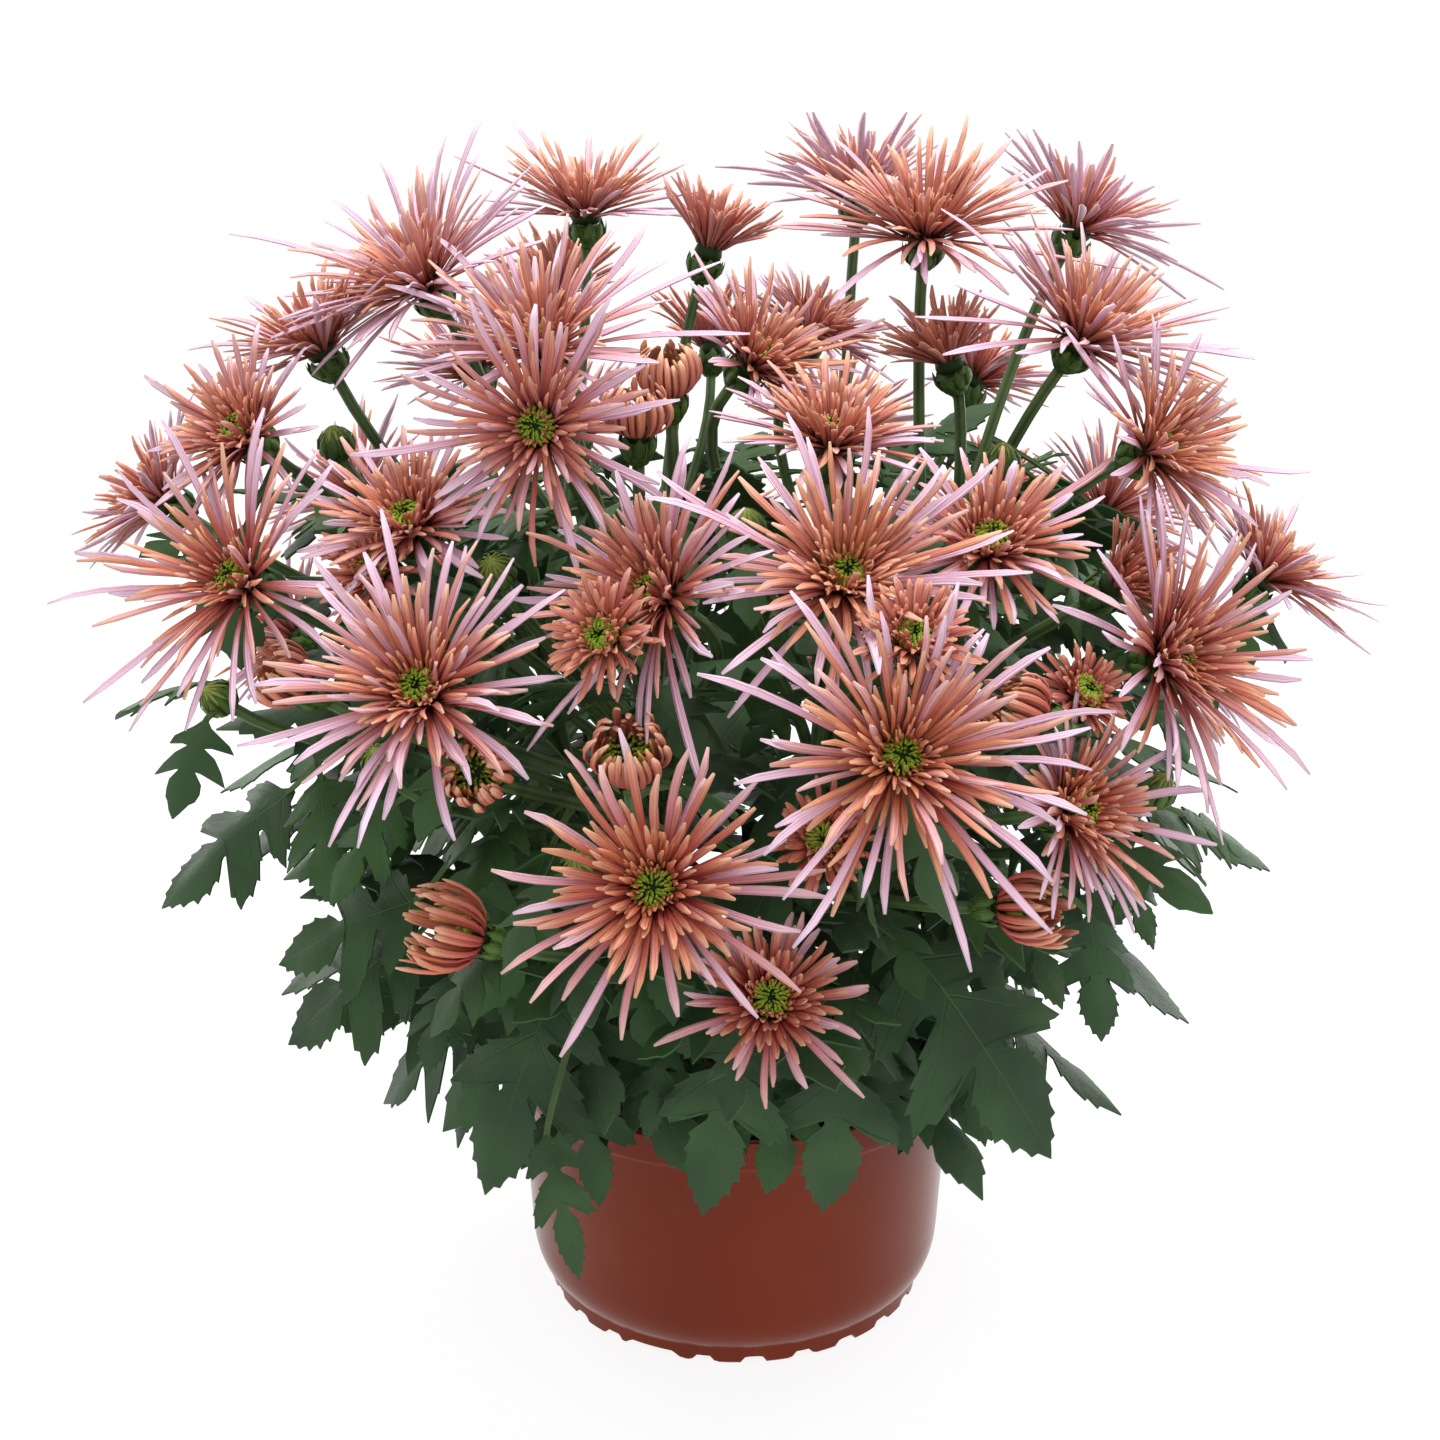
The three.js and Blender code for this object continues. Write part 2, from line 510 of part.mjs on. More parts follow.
// Main stems: each leaves its hole upright and leans out as it rises. A knee bends it out above
// the peat and a shoulder turns it up again below its top.
const STEM_SIDES = 5;
const STEM_COLLAR = 6;
const KNEE = { out: 12, up: 50, thinner: 0.2 };
const TURN_UP = { inward: 9, down: 42, thinner: 0.5 };

const stems = STEM_BEARINGS.map((bearing, i) => {
  const at = (out, z) => direction(bearing, 0).multiplyScalar(out).setZ(z);
  const foot = at(STEM_RING, PEAT_TOP - STEM_DEPTH);
  const points = [
    foot,
    at(STEM_RING, PEAT_TOP + STEM_COLLAR),
    at(STEM_RING + KNEE.out, PEAT_TOP + KNEE.up),
    at(STEM_TOP_RING - TURN_UP.inward, STEM_TOP - TURN_UP.down),
    at(STEM_TOP_RING, STEM_TOP),
  ];
  const radii = [STEM_RADIUS, STEM_RADIUS, STEM_RADIUS - KNEE.thinner,
    STEM_RADIUS - TURN_UP.thinner, STEM_TIP_RADIUS];
  const name = `leafy_stem_${i + 1}`;
  const solids = [tube(points, radii, STEM_SIDES)];
  return { name, bearing, foot, points, radii, solids, paths: [points.slice(1)] };
});

function nearestStem(point) {
  const bearing = bearingOf(point);
  const miss = (stem) => Math.abs(THREE.MathUtils.euclideanModulo(stem.bearing - bearing + 180, 360) - 180);
  return stems.reduce((best, stem) => (miss(stem) < miss(best) ? stem : best));
}

// Sizes of a head's core, by kind: its radius and height, its number of sectors, how far its
// long rays lift above its base plane, and the length and lift of its inner rays.
const KINDS = {
  bloom: { radius: 5.4, height: 6.4, sectors: 7, lift: 14, inner: 0.56, innerLift: 50 },
  curled_bloom: { radius: 4.6, height: 5.6, sectors: 5, lift: 28, inner: 0.62, innerLift: 58 },
  dark_bloom: { radius: 4.8, height: 6, sectors: 6, lift: 38, inner: 0.72, innerLift: 64 },
  young_bloom: { radius: 4, height: 4.4, sectors: 4, lift: 58, inner: 0.92, innerLift: 76 },
};

const SMALL_REACH = 42;

function growHead(spec, index) {
  const form = { ...KINDS[spec.kind] };
  if (spec.kind === 'bloom' && spec.reach <= SMALL_REACH) form.sectors -= 1;
  const axis = direction(...spec.faces);
  const eye = spec.place ? new THREE.Vector3(...spec.place) : placeAt(spec.eye, spec.front);
  const seat = eye.clone().addScaledVector(axis, -form.height);
  const number = String(index + 1).padStart(2, '0');
  const name = `${spec.kind}_${number}`;
  return { ...spec, form, axis, eye, seat, stem: nearestStem(seat), name };
}

const heads = [...OPEN_HEADS, ...BACK_HEADS, ...YOUNG_HEADS].map(growHead);
for (const head of heads) head.fused = head.kind === 'young_bloom';

// Every core and calyx takes its room before any branch or leaf grows.
const CORE_BALL = { up: 3, radius: 7 };
const CALYX_BALL = { up: -6, radius: 4.5 };

for (const head of heads) {
  const ballAt = ({ up, radius }, owner) => {
    takeRoom([{ at: head.seat.clone().addScaledVector(head.axis, up), radius, owner, free: false }]);
  };
  ballAt(CORE_BALL, head.name);
  ballAt(CALYX_BALL, head.stem.name);
}
for (const stem of stems) takeRoom(ballsAlong(stem.points, stem.radii, stem.name));

// The point a share of the way along a row of points, each stretch counting alike.
function alongPoints(points, share) {
  const reach = share * (points.length - 1);
  const stretch = Math.min(points.length - 2, Math.floor(reach));
  return points[stretch].clone().lerp(points[stretch + 1], reach - stretch);
}

// A branch leaves the main stem and bends until it points along the head's axis. Low heads
// branch off low, and high ones near the stem's top.
const FORKS = { low: 0.32, high: 0.98, lowEnd: 150, highEnd: 300 };
const LONGEST_PULL = 34;
const BRANCH_SHARES = [0, 0.3, 0.65, 1];

function branchPath(stem, end, axis, random, shake) {
  const rise = THREE.MathUtils.clamp((end.z - FORKS.lowEnd) / (FORKS.highEnd - FORKS.lowEnd), 0, 1);
  const from = alongPoints(stem.points.slice(1), THREE.MathUtils.lerp(FORKS.low, FORKS.high, rise));
  const pull = Math.min(LONGEST_PULL, from.distanceTo(end) / 3);
  const leave = end.clone().sub(from).normalize().add(UP).normalize();
  const first = from.clone().addScaledVector(leave, pull);
  const second = end.clone().addScaledVector(axis, -pull);
  for (const point of [first, second]) {
    const shift = [spread(random, shake), spread(random, shake), spread(random, shake / 2)];
    point.add(new THREE.Vector3(...shift));
  }
  const curve = new THREE.CubicBezierCurve3(from, first, second, end);
  return BRANCH_SHARES.map((share) => curve.getPoint(share));
}

const SHAKE_STEPS = 90;
const SHAKE = 0.5;
const FORK_ZONE = 14;

// Grows a branch that is clear of the other pieces, and at first of its own stem's branches
// too. Each attempt shakes its path a little more.
function growBranch(stem, end, axis, capPoints, capRadii, seed, ignored) {
  const random = randomFrom(seed);
  for (let step = 0; step < SHAKE_STEPS; step += 1) {
    const path = branchPath(stem, end, axis, random, step * SHAKE);
    const points = [...path, ...capPoints];
    const radii = [...path.map(() => BRANCH_RADIUS), ...capRadii];
    const balls = ballsAlong(points, radii, stem.name);
    const keepApart = step < SHAKE_STEPS / 2;
    for (const ball of balls) ball.free = keepApart && ball.at.distanceTo(path[0]) > FORK_ZONE;
    if (isClear(balls, ignored)) {
      takeRoom(balls);
      stem.solids.push(tube(points, radii, BRANCH_SIDES));
      stem.paths.push(path);
      return;
    }
  }
  throw new Error(`no room for the branch at ${end.toArray()}`);
}

// Seeds of the plant's parts, kept apart so that one can change without moving the others.
const SEEDS = { branch: 500, bud: 900, seenLeaf: 3000, ringLeaf: 4000, head: 7000, headStep: 31 };
const FUSED_DEPTH = 0.6;

heads.forEach((head, i) => {
  const gap = head.fused ? -FUSED_DEPTH : GAP;
  const top = head.seat.clone().addScaledVector(head.axis, -CORE_DROP - gap);
  const neck = top.clone().addScaledVector(head.axis, -CALYX_HEIGHT);
  const rim = head.form.radius + CALYX_OVERHANG;
  growBranch(head.stem, neck, head.axis, [top], [rim], SEEDS.branch + i, [head.name]);
});

// A closed bud: its length, where it is widest, and its radii there and at the top.
const BUD = { length: 9, widest: 5, radius: 4.6, topRadius: 3 };

CLOSED_BUDS.forEach((bud, i) => {
  const axis = direction(...bud.faces);
  const eye = placeAt(bud.eye, bud.front);
  const at = (back) => eye.clone().addScaledVector(axis, -back);
  const cap = [at(BUD.widest), at(0)];
  growBranch(nearestStem(eye), at(BUD.length), axis, cap, [BUD.radius, BUD.topRadius], SEEDS.bud + i, []);
});

// Leaves. A blade and its stalk are one thin sheet: the stalk is a narrow strip that starts
// inside the stem, and the blade arches from the strip's end to its tip, cut into lobes. Both
// faces are split into the same triangles, so that they never cross.
const EDGE_DROOP = 0.35;
const DROOP_POWER = 1.5;
const LEAST_KNEE = 0.5;

function blade(root, base, tip, facing, wide, arch) {
  const length = base.distanceTo(tip);
  const along = tip.clone().sub(base).normalize();
  const side = along.clone().cross(facing).normalize();
  const normal = side.clone().cross(along);
  const stalk = base.clone().sub(root).normalize();
  const stalkSide = side.clone().addScaledVector(stalk, -side.dot(stalk)).normalize();
  const stalkNormal = stalkSide.clone().cross(stalk);
  const crown = base.clone().lerp(tip, 0.5).addScaledVector(normal, arch * length);
  const rib = new THREE.QuadraticBezierCurve3(base, crown, tip);
  const at = (share, across) => {
    const droop = -EDGE_DROOP * Math.abs(across) ** DROOP_POWER * wide * length;
    return rib.getPoint(share)
      .addScaledVector(side, across * wide * length).addScaledVector(normal, droop);
  };
  const half = STALK_WIDTH / 2;
  const right = [
    root.clone().addScaledVector(stalkSide, half), base.clone().addScaledVector(side, half),
    ...LEAF_HALF.map(([share, across]) => at(share, across)),
  ];
  const left = [
    root.clone().addScaledVector(stalkSide, -half), base.clone().addScaledVector(side, -half),
    ...LEAF_HALF.map(([share, across]) => at(share, -across)),
  ];
  const middle = [...right, at(1, 0), ...left.reverse(), ...LEAF_RIB.map((share) => at(share, 0))];
  const turn = normal.clone().add(stalkNormal).normalize();
  const knee = turn.multiplyScalar(1 / Math.max(LEAST_KNEE, turn.dot(normal)));
  const edge = middle.length - LEAF_RIB.length;
  const lifts = middle.map((_, k) => {
    if (k === 0 || k === edge - 1) return stalkNormal;
    return k === 1 || k === edge - 2 ? knee : normal;
  });
  const vertices = [1, -1].flatMap((way) => middle.map((point, k) => (
    point.clone().addScaledVector(lifts[k], (way * BLADE_THICKNESS) / 2))));
  const faces = [...BLADE_TOP];
  const count = middle.length;
  for (const [a, b, c] of BLADE_TOP) faces.push([a + count, c + count, b + count]);
  for (let k = 0; k < edge; k += 1) {
    const next = (k + 1) % edge;
    faces.push([k + count, next + count, next], [k + count, next, k]);
  }
  return { surface: { vertices, faces }, middle, bent: along.dot(stalk) };
}

// The triangles of a blade's upper face. Its edge runs up the right side, round the tip and
// down the left; the two points of the midrib come last.
const EDGE_POINTS = 2 * (LEAF_HALF.length + 2) + 1;
const BLADE_TOP = bladeTriangles();

function bladeTriangles() {
  const [low, high] = [EDGE_POINTS, EDGE_POINTS + 1];
  const tipPoint = LEAF_HALF.length + 2;
  const last = EDGE_POINTS - 1;
  const top = [[last, 0, 1], [last, 1, last - 1], [last - 1, 1, low]];
  for (const isLeft of [false, true]) {
    const p = (k) => (isLeft ? last - 1 - k : k + 1);
    const halfFaces = [
      [p(0), p(1), low], [p(1), p(2), low], [p(2), p(3), low], [low, p(3), high],
      [p(3), p(4), high], [p(4), p(5), high], [p(5), p(6), high], [p(6), p(7), high],
      [p(7), tipPoint, high],
    ];
    for (const face of halfFaces) top.push(isLeft ? face.reverse() : face);
  }
  return top;
}

// Room for a blade: balls spread over its faces.
const BLADE_STEP = 3.2;
const BLADE_ROOM = 0.9;

function bladeBalls({ middle }, owner) {
  const balls = [];
  for (const face of BLADE_TOP) {
    const [a, b, c] = face.map((index) => middle[index]);
    const longest = Math.max(a.distanceTo(b), b.distanceTo(c), c.distanceTo(a));
    const steps = Math.ceil(longest / BLADE_STEP);
    for (let i = 0; i <= steps; i += 1) {
      for (let j = 0; i + j <= steps; j += 1) {
        const at = a.clone().multiplyScalar(1 - (i + j) / steps)
          .addScaledVector(b, i / steps).addScaledVector(c, j / steps);
        balls.push({ at, radius: BLADE_ROOM, owner, free: false });
      }
    }
  }
  return balls;
}

// The nearest spot on any stem or branch, and the stem that it belongs to.
function nearestWood(point) {
  let best = null;
  for (const stem of stems) {
    for (const points of stem.paths) {
      for (let i = 0; i + 1 < points.length; i += 1) {
        const line = new THREE.Line3(points[i], points[i + 1]);
        const spot = line.closestPointToPoint(point, true, new THREE.Vector3());
        const far = spot.distanceTo(point);
        if (!best || far < best.far) best = { stem, spot, far };
      }
    }
  }
  return best;
}

// True where a blade would stand in front of a flower head, within a share of its reach.
const BARE_SHARE = 0.7;
const BARE_EXTRA = 4;

function hidesHead(points) {
  return heads.some((head) => points.some((point) => {
    const arm = point.clone().sub(head.seat);
    return arm.dot(head.axis) > -1 && arm.length() < head.reach * BARE_SHARE + BARE_EXTRA;
  }));
}

const LEAF_TRIES = 60;
const LONGEST_STALK = 52;
const SHARPEST_KNEE = -0.2;
const ARCH = { mean: 0.1, spread: 0.05 };
const SHRINK = 0.006;
const STALK_ZONE = { share: 0.6, extra: 4 };

// Grows a leaf where its blade and stalk are clear of every other piece. draft gives the
// blade for each attempt, so that a crowded leaf is turned, moved or shortened.
function growLeaf(draft, seed) {
  const random = randomFrom(seed);
  for (let attempt = 0; attempt < LEAF_TRIES; attempt += 1) {
    const { base, tip, facing, wide } = draft(random, attempt);
    const { stem, spot, far } = nearestWood(base);
    if (far > LONGEST_STALK) continue;
    const arch = ARCH.mean + spread(random, ARCH.spread);
    const sheet = blade(spot, base, tip, facing, wide, arch);
    if (sheet.bent < SHARPEST_KNEE || hidesHead(sheet.middle)) continue;
    const skin = sheet.surface.faces.map((face) => face.map((index) => sheet.surface.vertices[index]));
    if (pierces(skin, skin)) continue;
    const balls = bladeBalls(sheet, stem.name);
    for (const ball of balls) {
      ball.free = ball.at.distanceTo(spot) > far * STALK_ZONE.share + STALK_ZONE.extra;
    }
    if (!isClear(balls)) continue;
    takeRoom(balls);
    stem.solids.push(sheet.surface);
    return;
  }
}

// A seen leaf's face turns outwards, and towards the viewer and the light above.
const OUTWARD_SHARE = 0.45;
const VIEWER_AND_LIGHT = new THREE.Vector3(0, -0.35, 0.75);
const SEEN_SHIFT = { leaf: 0.5, tip: 0.25, facing: 0.01 };

function outwardFacing(point) {
  return new THREE.Vector3(point.x, point.y, 0).normalize().multiplyScalar(OUTWARD_SHARE)
    .add(VIEWER_AND_LIGHT);
}

function growSeenLeaf(leaf, i) {
  const draft = (random, attempt) => {
    const shift = spread(random, attempt * SEEN_SHIFT.leaf);
    const base = placeAt(leaf.base, leaf.fronts[0] + shift);
    const tipFront = leaf.fronts[1] + shift + spread(random, attempt * SEEN_SHIFT.tip);
    const tip = placeAt(leaf.tip, tipFront);
    const facing = outwardFacing(base);
    facing.x += spread(random, attempt * SEEN_SHIFT.facing);
    return { base, tip, facing, wide: leaf.wide * (1 - attempt * SHRINK) };
  };
  growLeaf(draft, SEEDS.seenLeaf + i);
}

// How far a ring leaf may stray from its place, at first and for each further attempt.
const RING_STRAY = { bearing: [6, 0.5], height: [8, 0.4], out: [5, 0.3], turn: [25, 1], pitch: [12, 0] };
const RING_WIDTH = { mean: 0.76, spread: 0.06 };
const RING_OUTWARD = 0.5;

function growRingLeaf(ring, place, i) {
  const draft = (random, attempt) => {
    const stray = ([first, more]) => spread(random, first + attempt * more);
    const bearing = ring.from + (ring.to - ring.from) * place + stray(RING_STRAY.bearing);
    const height = ring.height + stray(RING_STRAY.height);
    const out = ring.out + stray(RING_STRAY.out);
    const base = direction(bearing, 0).multiplyScalar(out).setZ(height);
    const way = direction(bearing + stray(RING_STRAY.turn), ring.pitch + stray(RING_STRAY.pitch));
    const tip = base.clone().addScaledVector(way, ring.length * (1 - attempt * SHRINK));
    const facing = direction(bearing, 0).multiplyScalar(RING_OUTWARD).add(UP);
    return { base, tip, facing, wide: RING_WIDTH.mean + spread(random, RING_WIDTH.spread) };
  };
  growLeaf(draft, SEEDS.ringLeaf + i);
}

const RING_SEEDS = 40;

SEEN_LEAVES.forEach(growSeenLeaf);
LEAF_RINGS.forEach((ring, r) => {
  for (let i = 0; i < ring.count; i += 1) {
    growRingLeaf(ring, i / (ring.count - 1), r * RING_SEEDS + i);
  }
});

// Two directions across a head's axis, from which the turn of its rays is counted.
const NEARLY_UPRIGHT = 0.9;

function frameOf(head) {
  const first = new THREE.Vector3().crossVectors(head.axis, Math.abs(head.axis.z) > NEARLY_UPRIGHT
    ? new THREE.Vector3(0, 1, 0) : UP).normalize();
  const second = head.axis.clone().cross(first);
  return { first, second };
}

function aroundHead(head, turn, liftDeg) {
  const { first, second } = frameOf(head);
  const lift = toRad(liftDeg);
  return first.clone().multiplyScalar(Math.cos(turn) * Math.cos(lift))
    .addScaledVector(second, Math.sin(turn) * Math.cos(lift))
    .addScaledVector(head.axis, Math.sin(lift));
}

// The core is a low dome of triangles. Its two outer bands carry the rays, one on each face,
// its top is the eye and its underside rests on the calyx.
const MIDDLE_RING = { share: 0.88, up: 0.46 };
const HIGH_RING = { share: 0.6, up: 0.84 };

function coreOf(head) {
  const { radius, height, sectors } = head.form;
  const ring = ({ share, up }, half) => Array.from({ length: sectors }, (_, i) => {
    const turn = (2 * Math.PI * (i + half)) / sectors;
    return head.seat.clone().addScaledVector(aroundHead(head, turn, 0), radius * share)
      .addScaledVector(head.axis, height * up);
  });
  const vertices = [
    ...ring({ share: 1, up: 0 }, 0), ...ring(MIDDLE_RING, 0.5), ...ring(HIGH_RING, 1),
    head.seat.clone().addScaledVector(head.axis, height),
    head.seat.clone().addScaledVector(head.axis, -CORE_DROP),
  ];
  const low = (i) => i % sectors;
  const middle = (i) => sectors + (i % sectors);
  const high = (i) => 2 * sectors + (i % sectors);
  const outer = [];
  const inner = [];
  const plain = [];
  for (let i = 0; i < sectors; i += 1) {
    outer.push([low(i), low(i + 1), middle(i)], [low(i + 1), middle(i + 1), middle(i)]);
    inner.push([middle(i), middle(i + 1), high(i)], [middle(i + 1), high(i + 1), high(i)]);
    plain.push([high(i), high(i + 1), 3 * sectors], [low(i + 1), low(i), 3 * sectors + 1]);
  }
  return { vertices, outer, inner, plain };
}

// A head's skin: triangles under a key for each face of the core.
function skinOf(core) {
  const skin = new Map();
  for (const band of ['outer', 'inner', 'plain']) {
    core[band].forEach((face, i) => {
      skin.set(`${band}${i}`, [face.map((index) => core.vertices[index])]);
    });
  }
  return skin;
}

function centroid(vertices, face) {
  const sum = new THREE.Vector3();
  for (const index of face) sum.add(vertices[index]);
  return sum.divideScalar(3);
}

// Every other outer ray is bent at a middle point; the rest are straight.
function isBent(head, face) {
  return !head.fused && face % 2 === 0;
}

// Where a ray goes: from its face on the core through a middle point to its tip.
const MIDDLE_SHARE = 0.58;

function rayPath(head, face, tip, bend) {
  const root = centroid(head.core.vertices, head.core.outer[face]);
  const sag = isBent(head, face) ? bend * root.distanceTo(tip) : 0;
  return [root, root.clone().lerp(tip, MIDDLE_SHARE).addScaledVector(head.axis, sag), tip];
}

// Room for a ray, past its own root. Two rays of one head may meet inside the root zone.
const RAY_ROOM = { root: 2, step: 1.8, from: 3.5 };
const ROOT_ZONE = 9;

function rayBalls(head, path) {
  const radii = [RAY_ROOM.root, RAY_HALF_WIDTH, RAY_TIP_RADIUS];
  const balls = ballsAlong(path, radii, head.name, RAY_ROOM.step)
    .filter((ball) => ball.at.distanceTo(path[0]) > RAY_ROOM.from);
  for (const ball of balls) ball.free = ball.at.distanceTo(head.seat) > ROOT_ZONE;
  return balls;
}

// The triangles of a ray drawn out from a face of the core, through a middle ring if it is bent.
function rayTriangles(corners, [root, middle, tip], bent) {
  const triangles = [];
  let base = corners;
  if (bent) {
    const along = tip.clone().sub(root).normalize();
    base = corners.map((corner) => {
      const away = corner.clone().sub(root);
      away.addScaledVector(along, -away.dot(along)).setLength(RAY_HALF_WIDTH);
      return away.add(middle);
    });
    corners.forEach((corner, k) => {
      const next = (k + 1) % 3;
      triangles.push([corner, corners[next], base[next]], [corner, base[next], base[k]]);
    });
  }
  base.forEach((corner, k) => triangles.push([corner, base[(k + 1) % 3], tip]));
  return triangles;
}

// Draws a face of the head's skin out into a ray, if the ray is clear of every other piece
// and doesn't run through the rest of the skin.
function claimRay(head, key, path, bent) {
  const balls = rayBalls(head, path);
  if (!isClear(balls, head.rootFriends)) return false;
  const [corners] = head.skin.get(key);
  const triangles = rayTriangles(corners, path, bent);
  const rest = [...head.skin].filter(([other]) => other !== key).flatMap(([, faces]) => faces);
  if (pierces(triangles, rest) || pierces(rest, triangles)) return false;
  takeRoom(balls);
  head.skin.set(key, triangles);
  return true;
}

// A tip that is seen in the view: it lies on its line of sight where the ray best keeps the
// head's reach and lift. One that would still be far too long or bent back is left out.
const SIGHT_STEP = 1.5;
const LONGEST_SEEN = 1.5;
const LOWEST_SEEN = -40;
const LENGTH_WEIGHT = 90;

function seenTips(head) {
  const found = [];
  for (const pixel of head.tips ?? []) {
    let best = null;
    const last = head.front + head.reach;
    for (let front = head.front - head.reach; front <= last; front += SIGHT_STEP) {
      const tip = placeAt(pixel, front);
      const arm = tip.clone().sub(head.seat);
      const lift = THREE.MathUtils.radToDeg(Math.asin(arm.dot(head.axis) / arm.length()));
      const tooLong = Math.abs(arm.length() / head.reach - 1);
      const miss = LENGTH_WEIGHT * tooLong + Math.abs(lift - head.form.lift);
      if (!best || miss < best.miss) best = { miss, tip, arm, lift, pixel, front };
    }
    const { first, second } = frameOf(head);
    const turn = Math.atan2(best.arm.dot(second), best.arm.dot(first));
    if (best.arm.length() > head.reach * LONGEST_SEEN || best.lift < LOWEST_SEEN) continue;
    found.push({ ...best, turn: THREE.MathUtils.euclideanModulo(turn, 2 * Math.PI) });
  }
  return found.sort((a, b) => a.turn - b.turn);
}

const RAY_TRIES = 60;
const BEND = { mean: -0.03, spread: 0.055 };
const SIGHT_SHIFT = 0.35;

// Rays whose tips are seen, each from the core's face that points its way.
function growSeenRays(head) {
  const step = Math.PI / head.form.sectors;
  const faces = head.core.outer.length;
  const random = randomFrom(head.seed + 1);
  for (const seen of seenTips(head)) {
    const exact = THREE.MathUtils.euclideanModulo(seen.turn / step - 1, faces);
    const order = [Math.round(exact), Math.floor(exact), Math.ceil(exact)].map((f) => f % faces);
    const face = order.find((f) => head.freeFaces.has(f));
    if (face === undefined) continue;
    for (let attempt = 0; attempt < RAY_TRIES; attempt += 1) {
      const front = seen.front + spread(random, attempt * SIGHT_SHIFT);
      const bend = BEND.mean + spread(random, BEND.spread);
      const path = rayPath(head, face, placeAt(seen.pixel, front), bend);
      if (claimRay(head, `outer${face}`, path, isBent(head, face))) {
        head.freeFaces.delete(face);
        break;
      }
    }
  }
}

// Long rays on the outer faces that are left, shorter with each attempt. turn is a share of a
// sector; turn and lift stray by the first amount and by the second for each further attempt.
const OUTER = { turn: [0.2, 0.012], lift: [12, 0.4], oddLift: 9, shortest: 0.72, shrink: 0.011 };

function growOuterRays(head) {
  const step = Math.PI / head.form.sectors;
  const random = randomFrom(head.seed + 2);
  for (const face of [...head.freeFaces].sort((a, b) => a - b)) {
    for (let attempt = 0; attempt < RAY_TRIES; attempt += 1) {
      const stray = ([first, more], unit) => spread(random, unit * (first + attempt * more));
      const turn = (face + 1) * step + stray(OUTER.turn, step);
      const lift = head.form.lift + (face % 2) * OUTER.oddLift + stray(OUTER.lift, 1);
      const share = OUTER.shortest + (1 - OUTER.shortest) * random();
      const length = head.reach * share * (1 - attempt * OUTER.shrink);
      const tip = head.seat.clone().addScaledVector(aroundHead(head, turn, lift), length);
      const path = rayPath(head, face, tip, BEND.mean + spread(random, BEND.spread));
      if (claimRay(head, `outer${face}`, path, isBent(head, face))) {
        head.freeFaces.delete(face);
        break;
      }
    }
  }
}

// Short, steeper rays round the eye.
const INNER = { turn: 0.3, lift: 6, oddLift: 10, length: 0.07, shrink: 0.02 };

function growInnerRays(head) {
  const step = Math.PI / head.form.sectors;
  const random = randomFrom(head.seed + 3);
  head.core.inner.forEach((face, i) => {
    const root = centroid(head.core.vertices, face);
    const turn = (i + 2) * step;
    for (let attempt = 0; attempt < RAY_TRIES / 2; attempt += 1) {
      const lift = head.form.innerLift + (i % 2) * INNER.oddLift + spread(random, INNER.lift);
      const share = head.form.inner + spread(random, INNER.length);
      const length = head.reach * share * (1 - attempt * INNER.shrink);
      const way = aroundHead(head, turn + spread(random, step * INNER.turn), lift);
      const tip = head.seat.clone().addScaledVector(way, length);
      const path = [root, root.clone().lerp(tip, 0.5), tip];
      if (claimRay(head, `inner${i}`, path, false)) break;
    }
  });
}

heads.forEach((head, i) => {
  head.seed = SEEDS.head + i * SEEDS.headStep;
  head.core = coreOf(head);
  head.skin = skinOf(head.core);
  head.freeFaces = new Set(head.core.outer.keys());
  head.rootFriends = head.fused ? [head.stem.name] : [];
});
for (const head of heads) growSeenRays(head);
for (const head of heads) growOuterRays(head);
for (const head of heads) growInnerRays(head);

// One head as one closed surface.
function headSurface(head) {
  const vertices = [];
  const numbers = new Map();
  const numberOf = (corner) => {
    if (!numbers.has(corner)) numbers.set(corner, vertices.push(corner) - 1);
    return numbers.get(corner);
  };
  const faces = [...head.skin.values()].flat().map((corners) => corners.map(numberOf));
  return geometryOf({ vertices, faces });
}

// Union edges shorter than this are joined.
const SLIVER = 0.1;

const plant = new THREE.Group();
plant.add(namedMesh('pot', geometryFrom(potShell()), MATERIALS.pot));
plant.add(namedMesh('soil', geometryFrom(peatFill()), MATERIALS.soil));
for (const stem of stems) {
  const solids = stem.solids.map((surface) => solidFrom(geometryOf(surface)));
  for (const head of heads.filter(({ fused, stem: own }) => fused && own === stem)) {
    solids.push(solidFrom(headSurface(head)));
  }
  const whole = wasm.Manifold.union(solids).simplify(SLIVER);
  plant.add(namedMesh(stem.name, geometryFrom(whole), MATERIALS.leafy_stem));
}
for (const head of heads.filter(({ fused }) => !fused)) {
  plant.add(namedMesh(head.name, headSurface(head), MATERIALS[head.kind]));
}

export default plant;
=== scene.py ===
# %% [markdown]
# # A potted spider chrysanthemum
# The plant stands in a thin plastic nursery pot. Six leafy stems rise from the peat, and they
# carry a dome of flower heads whose long, narrow rays give the spider chrysanthemum its name.
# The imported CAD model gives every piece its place. This script replaces its plain solids with
# finer ones: thousands of grooved rays, cut leaves with veins, ribbed stems, scaly calyces,
# crumbly peat and a glossy pot.

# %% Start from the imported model
import math

